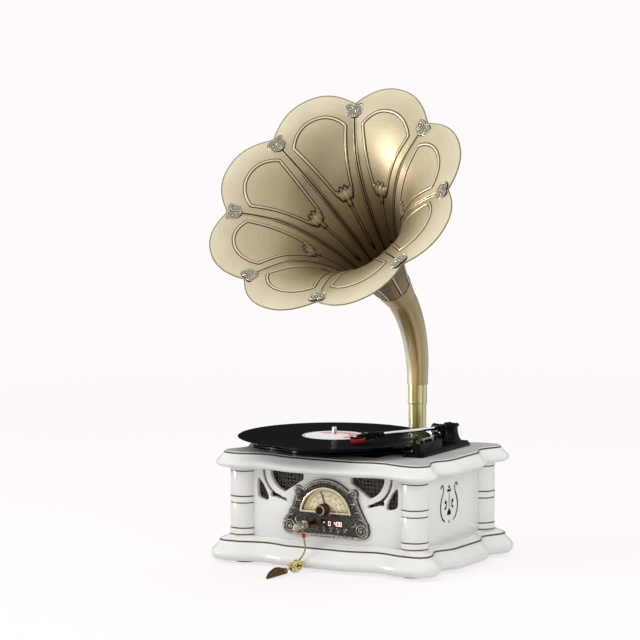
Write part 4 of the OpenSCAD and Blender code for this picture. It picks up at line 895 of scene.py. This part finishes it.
def petal_frame(middle):
    """The raised outline in a petal: straight sides and an arched top, open towards the throat."""
    low_r, low_w, top_r, top_w, crown = 80.0, 13.0, 150.0, 44.5, 20.0
    right = [(low_w + (top_w - low_w) * k, low_r + (top_r - low_r) * k) for k in np.linspace(0, 1, 30)]
    arch = [(top_w * c, top_r + crown * (1 - abs(c) ** 2.3) ** 0.8)
            for c in np.cos(np.linspace(0, math.pi, 46)[1:-1])]
    w, r = np.array(right + arch + [(-w, r) for w, r in right[::-1]]).T
    angle = middle + np.degrees(w / r)
    return t_of_radius(r, angle), angle


def reach_of(circles, spokes):
    """How far a union of circles (x, y, r) reaches from its middle, by angle."""
    a = circle(spokes)
    far = np.zeros(spokes)
    for x, y, r in circles:
        b = x * np.cos(a) + y * np.sin(a)
        q = b * b - (x * x + y * y - r * r)
        far = np.where(q > 0, np.maximum(far, b + np.sqrt(np.maximum(q, 0))), far)
    return smoothed(far)


def knob_relief(bag, middle, radius, knobs, rings=12, spokes=72):
    """Cast knobs (across, towards the rim, size, height) in relief on a petal, round a point of it."""
    far = reach_of([k[:3] for k in knobs], spokes)
    a = circle(spokes)
    rows = []
    for i in range(rings + 3):
        rho = far * min(i / rings, 1.0) + (1.1 if i > rings else 0.0)
        w, up = rho * np.cos(a), rho * np.sin(a)
        swell = np.zeros(spokes)
        for x, y, r, h in knobs:
            swell = np.maximum(swell, h * np.sqrt(np.clip(1 - ((w - x) ** 2 + (up - y) ** 2) / r**2, 0, 1)))
        # Painted light: knobs paler towards their tops as painted highlights, darker low down and in the edge
        # ring as painted shade
        if i < rings:
            high, darker = 0.35 + swell, np.clip(0.8 - 0.55 * swell, -0.3, 0.8)
        else:
            high, darker = 0.15 if i < rings + 2 else -0.3, 0.95
        rows.append(np.stack(np.broadcast_arrays(w, up, high, darker)))
    w, up, high, darker = np.concatenate(rows, axis=1)
    angle = middle + np.degrees(w / (radius + up))
    t = t_of_radius(radius + up, angle)
    verts, _ = bell_point(t, angle, high)
    faces = skin(len(rows), spokes, caps=False) + [tuple(range(len(verts) - spokes, len(verts)))]
    bag.add((verts, faces), np.clip(patina_at(t, angle) + darker, 0, 1))


BRACKET = [(0, 0.5, 5.6, 2.1), (0, -6.0, 3.9, 1.6)] + [
    (side * x, y, r, h) for side in (-1, 1)
    for x, y, r, h in ((6.6, 0.8, 4.8, 1.8), (11.6, 3.6, 3.5, 1.6), (3.4, 5.6, 2.9, 1.4))]


def tracery():
    """Raised lines on the bell: seams, frames, veins and brackets inside, and the ribs of its back."""
    bag = Bag()
    # Sections: the seam's middle is its dark joint; the dark feet and light tops of the lines and ribs are
    # painted shade and painted highlights
    seam = mirrored([(1.15, 0.14, 1.0), (1.5, 0.9, -0.15), (2.5, 0.9, -0.15), (3.0, 0.14, 0.9),
                     (3.9, 0.10, 0.9), (3.9, -0.3, 0.9)])
    rib = [(-3.0, -0.3, 0.95), (-3.0, 0.12, 0.95), (-1.3, 0.16, 0.95), (-0.9, 1.3, -0.5), (0.9, 1.3, -0.5),
           (1.3, 0.16, 0.8), (2.2, 0.12, 0.8), (2.2, -0.3, 0.8)]
    for k in range(PETALS):
        at = BELL_PHASE + PETAL_STEP * k
        middle = at + PETAL_STEP / 2
        ribbon(bag, np.linspace(0.4, 11.1, 90), at, seam)
        ribbon(bag, *petal_frame(middle), bead_section(1.7, 1.4))
        ribbon(bag, t_of_radius(np.linspace(41, 72, 26), middle), middle, bead_section(1.4, 1.2))
        knob_relief(bag, middle, 41.0, [(0, 0, 1.9, 1.1)], 4, 20)
        knob_relief(bag, middle, 76.5, BRACKET)
        ribbon(bag, np.linspace(1.12, 11.4, 60), at, rib, back=True)
    bag.put("bell_tracery", TRACERY_BRASS, "horn_body", key="patina_and_painted_light")


def rolled_rim():
    columns = PETALS * 44
    p, n = bell_point(RIM_T, BELL_PHASE + np.arange(columns) * 360 / columns)
    shape = tube(p - n * BELL_WALL / 2, 1.05, 8, closed=True)
    add_mesh("bell_rolled_rim", shape, TRACERY_BRASS, "horn_body", ages_and_painted_light=[0.72] * len(shape[0]),
             key="patina_and_painted_light")


def elbow_lip():
    """The end of the elbow, turned over the bell's throat."""
    lip = [(23.0 + s / 6, s) for s in (-0.5, 8, 16, 24, 31)]
    lip += [(24.3 + s / 6, s) for s in (31, 30.3, 24, 16, 8, 0, -0.5)]
    add_mesh("elbow_lip", moved(to_world, lathe(lip, sides=96)), ELBOW_BRASS, "horn_body")


BADGE_LEVELS = [(0.98, 0.0, 1.0), (1.0, 1.0, 1.0), (1.0, 3.6, 0.9), (0.975, 4.4, 0.95), (0.92, 4.4, 0.95),
                (0.88, 4.4, 0.5), (0.02, 4.4, 0.5)]


def badge_place(k):
    """Moves points from a badge's own frame to the rim at seam k."""
    turn, spin = rotation("Y", -20), rotation("Z", BELL_PHASE + PETAL_STEP * k)
    return lambda p: to_world((np.asarray(p, float) @ turn.T + np.array([173.0, 0, 257.5])) @ spin.T)


def badges():
    """Cast plaques of two scrolls on the rim at each seam."""
    bag = Bag()
    spread, drop, big, spokes = 7.3, 3.5, 10.0, 96
    reach = reach_of(((1.0, spread, big), (1.0, -spread, big), (-drop, 0.0, big - 0.7)), spokes)
    x, y = reach * np.cos(circle(spokes)), reach * np.sin(circle(spokes))
    part, high, dark = np.array(BADGE_LEVELS).T[..., None]
    body = points(part * x, part * y, high).reshape(-1, 3), skin(len(part), spokes)
    s = np.linspace(0, 1, 48)
    r = 5.9 * (1 - s) ** 0.7 + 2.2 * s**0.5
    for k in range(PETALS):
        place = badge_place(k)
        bag.add(moved(place, body), np.repeat(dark, spokes))
        bag.add(moved(place, tube(points(x * 0.86, y * 0.86, 4.5), 0.75, 6, closed=True)))
        for side in (-1, 1):
            a = side * (s * 1.3 * 2 * math.pi + 2.7)
            scroll = points(1.0 + r * np.cos(a), side * spread + r * np.sin(a), 4.7)
            bag.add(moved(place, tube(scroll, 0.8, 6)), 0.1)
            boss = [(0.01, 4.2), (1.7, 4.2), (1.7, 5.0), (1.0, 5.6), (0.01, 5.8)]
            bag.add(moved(place, lathe(boss, (1.0, side * spread, 0), sides=16)))
            leaf = spline([(-2.6, side * 0.8, 4.6), (-6.5, side * 3.0, 4.7), (-10.6, side * 0.9, 4.6)], 5)
            bag.add(moved(place, tube(leaf, 0.75, 6)), 0.1)
        tip = [(0.01, 4.2), (1.4, 4.2), (1.4, 4.9), (0.01, 5.3)]
        bag.add(moved(place, lathe(tip, (-8.0, 0, 0), sides=14)))
    obj = bag.put("badge_scrolls", BADGE_METAL, "horn_body")
    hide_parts("horn_badges")


bell()
tracery()
rolled_rim()
elbow_lip()
badges()

# Escutcheon ornament: a round border, scrolls, rosettes and the frame round the display
LOW_CURL = (62.5, 64.0)
TOP_CURL = (49.0, 120.5)


def escutcheon_outline():
    """Points just inside the escutcheon's edge, all round its dial centre."""
    half = [(0, 50.5), (61, 50.5), (74, 66.5), (74.5, 73.5), (68.5, 82.5), (62, 94.5), (57, 105.5),
            (54, 114.5), (44, 120.5), (0, 120.5)]
    discs = [(*TOP_CURL, 7), (*LOW_CURL, 13.5)]
    inset = 1.9

    def inside(x, z):
        x = abs(x)
        if z > 80.5 and math.hypot(x, z - DIAL_Z) < 58:
            return True
        if any(math.hypot(x - cx, z - cz) < r for cx, cz, r in discs):
            return True
        hit = False
        for (x0, z0), (x1, z1) in zip(half, half[1:] + half[:1]):
            if (z0 > z) != (z1 > z) and x < x0 + (z - z0) / (z1 - z0) * (x1 - x0):
                hit = not hit
        return hit

    out = []
    for c, s in zip(np.cos(circle(240)), np.sin(circle(240))):
        edge = next(r for r in np.linspace(100, 20, 320) if inside(r * c, DIAL_Z + r * s))
        out.append(((edge - inset) * c, DIAL_Z + (edge - inset) * s))
    return smoothed(np.array(out))


def escutcheon_border():
    bag = Bag()
    x, z = escutcheon_outline().T
    bag.add(tube(points(x, PLATE_Y - 0.2, z), 1.3, 8, closed=True))
    inner = 0.945
    bag.add(tube(points(x * inner, PLATE_Y - 0.05, DIAL_Z + (z - DIAL_Z) * inner), 0.7, 6, closed=True))
    curls = ((LOW_CURL, 9.6, 2.2, -0.6, 1.5, 1.0, 2.2), (TOP_CURL, 4.6, 1.4, 2.0, 1.2, 0.7, 1.3))
    leaves = ((50, 112, 44, 104), (60, 99, 52, 92), (66, 86, 57, 82), (52, 78, 45, 70))
    s, u = np.linspace(0, 1, 60), np.linspace(0, 1, 14)
    arc = np.sin(math.pi * u)
    for side in (-1, 1):
        for (cx, cz), big, turns, start, lift, pen, rose in curls:
            a = start + s * turns * 2 * math.pi
            r = big * (1 - s) ** 0.85 + 0.8
            scroll = points(side * (cx + r * np.cos(a)), PLATE_Y - lift - 0.3 * s, cz + r * np.sin(a))
            bag.add(tube(scroll, np.linspace(pen, 0.6, 60), 8))
            rosette = [(0.01, 1.0), (rose, 1.0), (rose, 1.6), (rose * 0.7, 2.5), (0.01, 2.9)]
            bag.add(lathe(rosette, (side * cx, PLATE_Y, cz), (0, -1, 0), 20))
        for x0, z0, x1, z1 in leaves:
            x, z = x0 + (x1 - x0) * u + 3.5 * arc, z0 + (z1 - z0) * u - 3.0 * arc
            leaf = points(side * x, PLATE_Y - 0.25, z)
            bag.add(tube(leaf, 0.35 + 0.75 * np.sin(math.pi * np.linspace(0.05, 0.95, 14)), 6))
    bag.put("escutcheon_border", PEWTER_RUBBED, "cabinet")


def display_rim():
    bag = Bag()
    x, z, w, h = DISPLAY
    w, h = w / 2 + 0.9, h / 2 + 0.9
    corners = [(x - w, z - h), (x + w, z - h), (x + w, z + h), (x - w, z + h)]
    k = np.linspace(0.02, 0.98, 12)
    sides = [points(x0 + (x1 - x0) * k, PLATE_Y - 0.1, z0 + (z1 - z0) * k)
             for (x0, z0), (x1, z1) in zip(corners, corners[1:] + corners[:1])]
    bag.add(tube(np.concatenate(sides), 0.7, 6, closed=True))
    bag.put("display_rim", PEWTER_DARK, "cabinet")


def bar(x0, x1, z0, z1, y):
    """A thin flat bar on the front."""
    return prism([(x0, y, z0), (x1, y, z0), (x1, y, z1), (x0, y, z1)], (0, -0.06, 0))


SEGMENTS = {"0": "abcdef", "4": "bcfg", "8": "abcdefg"}
FLAT_SEGMENTS = {"a": 1, "g": 0, "d": -1}


def display_digits():
    """Plain lit digits in seven segments, and a small mark before them."""
    bag = Bag()
    y = PLATE_Y + 0.6
    w, h, half_pen, gap = 3.1 / 2, 6.2 / 2, 0.75 / 2, 0.2
    for i, digit in enumerate("0 408"):
        x, z = DISPLAY[0] - 6.0 + 4.6 * i - (0 if i else 1.0), DISPLAY[1]
        for s in SEGMENTS.get(digit, ""):
            if s in FLAT_SEGMENTS:
                middle = z + FLAT_SEGMENTS[s] * h
                bag.add(bar(x - w + gap, x + w - gap, middle - half_pen, middle + half_pen, y))
            else:
                middle = x + (w if s in "bc" else -w)
                z0, z1 = (z + gap, z + h) if s in "bf" else (z - h, z - gap)
                bag.add(bar(middle - half_pen, middle + half_pen, z0, z1, y))
    x, z = DISPLAY[:2]
    bag.add(bar(x - 17.5, x - 15.5, z + 0.6, z + 2.0, y))
    bag.put("display_numbers", DIGITS, "cabinet", smooth=False)


# Printed labels over the buttons, glowing as painted light
def button_marks():
    bag = Bag()
    for i in range(4):
        for k in range(3 if i % 2 else 2):
            x = BUTTON_X + BUTTON_PITCH * i + k * 2.4
            bag.add(bar(x - 3.2, x - 1.7, BUTTON_Z + 3.0, BUTTON_Z + 4.7, PLATE_Y - 0.02))
    bag.put("button_marks", LABEL_PAINTED_GLOW, "cabinet", smooth=False)


def dial_scale():
    """Three arcs and a row of ticks, printed on the dial's card."""
    bag = Bag()
    back, front = -FRONT_Y - 0.01, -FRONT_Y - 0.06
    a = np.radians(np.linspace(8, 172, 90))
    for r, pen in ((34.5, 0.25), (27.0, 0.2), (19.5, 0.2)):
        edges = [points((r + p) * np.cos(a), y, DIAL_PRINT_Z + (r + p) * np.sin(a))
                 for p, y in ((-pen, front), (pen, front), (pen, back), (-pen, back))]
        bag.add((np.stack(edges, 1).reshape(-1, 3), skin(90, 4)))
    for i in range(41):
        a = math.radians(12 + 156 * i / 40)
        long, half_pen = (4.0, 0.22) if i % 5 == 0 else (2.2, 0.13)
        way = np.array([math.cos(a), 0, math.sin(a)])
        side = np.array([math.sin(a), 0, -math.cos(a)]) * half_pen
        low = np.array([0, back, DIAL_PRINT_Z]) + way * 30.5
        high = low + way * long
        bag.add(prism([low - side, low + side, high + side, high - side], (0, front - back, 0)))
    bag.put("dial_scale", INK, "cabinet", smooth=False)


def dial_numbers():
    rows = (("55", "60", "70", "80", "100", "120", "140", "160"), 28.6, 3.4), \
        (("88", "92", "96", "100", "104", "108"), 22.2, 3.2)
    for row, (words, r, size) in enumerate(rows):
        for i, word in enumerate(words):
            a = math.radians(165 - 150 * i / (len(words) - 1))
            curve = bpy.data.curves.new(f"dial_number_{row}_{i}", "FONT")
            curve.body = word
            curve.align_x = "CENTER"
            curve.align_y = "CENTER"
            curve.size = size * MM
            curve.extrude = 0.00003
            curve.materials.append(INK)
            obj = new_object(f"dial_number_{row}_{i}", curve)
            at = Vector((r * math.cos(a), -FRONT_Y - 0.04, DIAL_PRINT_Z + r * math.sin(a))) * MM
            obj.matrix_world = Matrix.Translation(at) @ Matrix.Rotation(math.radians(90), 4, "X") \
                @ Matrix.Rotation(a - math.pi / 2, 4, "Z")
            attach(obj, "cabinet")


escutcheon_border()
display_rim()
display_digits()
button_marks()
dial_scale()
dial_numbers()


# Small dressing: coloured washers on the line jacks, the headshell's body and wires, drums on the gimbal
def turned(degrees, axis):
    return Matrix.Rotation(math.radians(degrees), 4, axis)


ARM_PIVOT = Matrix.Translation((*ARM_AT, 202.5)) @ turned(-106.5, "Z")
ARM_END = (148.8, 12.36, 5.7)
SHELL_SEAT = ARM_PIVOT @ Matrix.Translation(ARM_END) @ turned(-22, "Z") @ turned(6, "Y")
COLLAR_SEAT = ARM_PIVOT @ Matrix.Translation(ARM_END) @ Matrix.Rotation(math.atan2(12.36, 148.8), 4, "Z") \
    @ Matrix.Rotation(-0.038, 4, "Y")
on_shell = by_matrix(SHELL_SEAT)


def jack_washers():
    for x, material, name in ((-64, RED, "jack_washer_right"), (-40, WHITE_PLASTIC, "jack_washer_left")):
        shape = lathe([(4.2, 0), (5.7, 0), (5.7, 0.6), (5.2, 1.1), (4.2, 1.1)], (x, 119.5, 80), (0, 1, 0), 48)
        add_mesh(name, shape, material, "cabinet")


def headshell_body():
    """The shell's upper plate with its ribs, the cartridge's carrier below it, and the collar of the arm."""
    bag = Bag()
    right = [(-1, -4.2), (9, -5.6), (28, -5.6), (33, -4)]
    bag.add(moved(on_shell, slab(right + [(x, -y) for x, y in right[::-1]], 1.9, 4.4)))
    bag.add(moved(on_shell, slab([(5, -3.6), (22.6, -5.0), (22.6, 5.0), (5, 3.6)], 0.1, -5.4)))
    for k in range(6):
        x = 8 + 3.2 * k
        bag.add(moved(on_shell, slab([(x, -4.8), (x + 1.4, -4.8), (x + 1.4, 4.8), (x, 4.8)], 4.3, 5.4, 0.3)))
    collar = [(3.7, -9), (4.7, -8.4), (4.7, -5.2), (4.2, -4.8), (4.2, -1.2), (4.7, -0.8), (4.7, 2),
              (3.7, 2.6)]
    bag.add(moved(by_matrix(COLLAR_SEAT), lathe(collar, axis=(1, 0, 0), sides=40)))
    bag.put("headshell_body", BLACK_GLOSS, "arm_body")


def headshell_bolts():
    bag = Bag()
    for side in (-1, 1):
        bolt = [(0.01, 1.9), (1.5, 1.9), (1.5, 3.0), (1.1, 3.5), (0.01, 3.6)]
        bag.add(moved(on_shell, lathe(bolt, (38.5, side * 3.6, 0), sides=20)))
        nut = [(0.01, 5.2), (1.0, 5.2), (1.0, 5.9), (0.01, 6.1)]
        bag.add(moved(on_shell, lathe(nut, (19.4, side * 3.3, 0), sides=20)))
    bag.put("headshell_bolts", CHROME, "arm_body")


def cartridge_wires():
    for k, material in enumerate((COPPER, WHITE_PLASTIC, GREEN, BLACK_SATIN)):
        y = 3 - 2 * k
        path = spline([(23.0, y, -3.6), (17, y * 1.5, -6.2), (9, y * 1.35, -6.0), (2.5, y * 0.6, -3.0)], 6)
        add_mesh(f"cartridge_wire_{k + 1}", moved(on_shell, tube(path, 0.45, 6)), material, "arm_body")


def gimbal_drums():
    bag = Bag()
    drum = [(0.01, 9.5), (7.8, 9.5), (8.2, 9.9), (8.2, 10.9), (7.6, 11.5), (5.6, 11.6), (5.3, 11.0),
            (3.6, 11.0), (3.3, 11.7), (0.01, 12.0)]
    for side in (-1, 1):
        bag.add(moved(by_matrix(ARM_PIVOT), lathe(drum, (0, 0, -1.4), (0, side, 0), 48)))
    bag.put("gimbal_drums", BLACK_GLOSS, "gimbal_body")


def arm_base_studs():
    bag = Bag()
    for x, y, r in ((126.5, -18, 3.0), (126.5, -30, 2.2), (127, -47, 2.6)):
        stud = [(0.01, 195.6), (r, 195.6), (r, 198.2), (r - 0.5, 199), (0.01, 199.2)]
        bag.add(lathe(stud, (x, y, 0), sides=28))
    bag.put("arm_base_studs", BLACK_GLOSS, "cabinet")


jack_washers()
headshell_body()
headshell_bolts()
cartridge_wires()
gimbal_drums()
arm_base_studs()

# Floor, light and background
BACKDROP = (1.0, 0.962, 0.97)


def floor():
    """A wide floor. The camera sees mostly the backdrop's tone in it, and more of that further away."""
    size = 40
    mesh = bpy.data.meshes.new("floor")
    corners = [(-size, -size, 0), (size, -size, 0), (size, size, 0), (-size, size, 0)]
    mesh.from_pydata(corners, [], [(0, 1, 2, 3)])
    material = bpy.data.materials.new("floor_paint")
    material.use_nodes = True
    material.node_tree.nodes.clear()
    t = Nodes(material.node_tree)
    ray = t.node("ShaderNodeLightPath").outputs
    place = t.node("ShaderNodeTexCoord").outputs["Object"]
    away = t.node("ShaderNodeVectorMath", place, operation="LENGTH").outputs["Value"]
    share = t.mul(ray["Is Camera Ray"], t.soft_span(away, 0.9, 3.5, 0.74, 0.895))
    lit = t.node("ShaderNodeBsdfDiffuse", (0.80, 0.785, 0.79)).outputs[0]
    shine = t.node("ShaderNodeEmission", BACKDROP, 1.045).outputs[0]
    in_gloss = t.node("ShaderNodeEmission", (1.0, 0.98, 0.95), 0.78).outputs[0]
    t.node("ShaderNodeOutputMaterial", t.choose(ray["Is Glossy Ray"], t.choose(share, lit, shine), in_gloss))
    mesh.materials.append(material)
    new_object("floor", mesh)


def backdrop():
    """The backdrop's tone for the camera, a soft sky for diffuse light, and for reflections a room.

    The room is brighter to the left and above, and dark behind the player."""
    world = bpy.data.worlds.new("world")
    bpy.context.scene.world = world
    world.use_nodes = True
    world.node_tree.nodes.clear()
    t = Nodes(world.node_tree)
    way = t.node("ShaderNodeTexCoord").outputs["Generated"]

    def towards(*direction):
        return t.node("ShaderNodeVectorMath", way, direction, operation="DOT_PRODUCT").outputs["Value"]

    def light(colour, strength):
        return t.node("ShaderNodeBackground", colour, strength).outputs[0]

    side, front, high = towards(*ACROSS, 0.0), towards(ACROSS[1], -ACROSS[0], 0.0), towards(0.0, 0.0, 1.0)
    walls = t.mul(t.soft_span(side, -0.9, 0.55, 1.15, 0.42), t.soft_span(front, 0.50, 0.93, 1.0, 0.42))
    rise = t.soft_span(high, 0.10, 0.6, 0.0, 1.0)
    room = t.add(t.mul(walls, t.sub(1.0, rise)), rise)
    room = t.mul(room, t.soft_span(front, -0.99, -0.72, 0.04, 1.0))
    sky = t.soft_span(high, -0.1, 0.85, 0.32, 0.74)
    ray = t.node("ShaderNodeLightPath").outputs
    seen = t.largest([ray["Is Camera Ray"], ray["Is Transmission Ray"]])
    unseen = t.choose(ray["Is Glossy Ray"], light((0.99, 0.99, 1.0), sky), light((1.0, 0.99, 0.97), room))
    t.node("ShaderNodeOutputWorld", t.choose(seen, unseen, light(BACKDROP, 1.0)))


def lamp(name, at, target, size, power, glossy=False, diffuse=True):
    data = bpy.data.lights.new(name, "AREA")
    data.shape = "RECTANGLE"
    data.size, data.size_y = size
    data.energy = power
    obj = new_object(name, data)
    obj.visible_glossy = glossy
    obj.visible_diffuse = diffuse
    obj.visible_camera = False
    obj.location = Vector(at)
    obj.rotation_euler = (Vector(target) - Vector(at)).to_track_quat("-Z", "Y").to_euler()


floor()
backdrop()
lamp("key_light", (-1.6, -2.2, 2.2), (0, 0, 0.3), (1.8, 1.8), 46)
lamp("petal_light", (-2.0, -1.3, 0.42), (0.07, -0.05, 0.63), (0.30, 0.46), 25, glossy=True, diffuse=False)
lamp("fill_light", (2.4, -1.4, 1.3), (0, 0, 0.35), (1.4, 1.8), 24)
lamp("top_light", (0.2, 0.6, 2.6), (0, 0, 0.2), (1.6, 1.2), 16)
bpy.context.scene.view_settings.view_transform = "Standard"
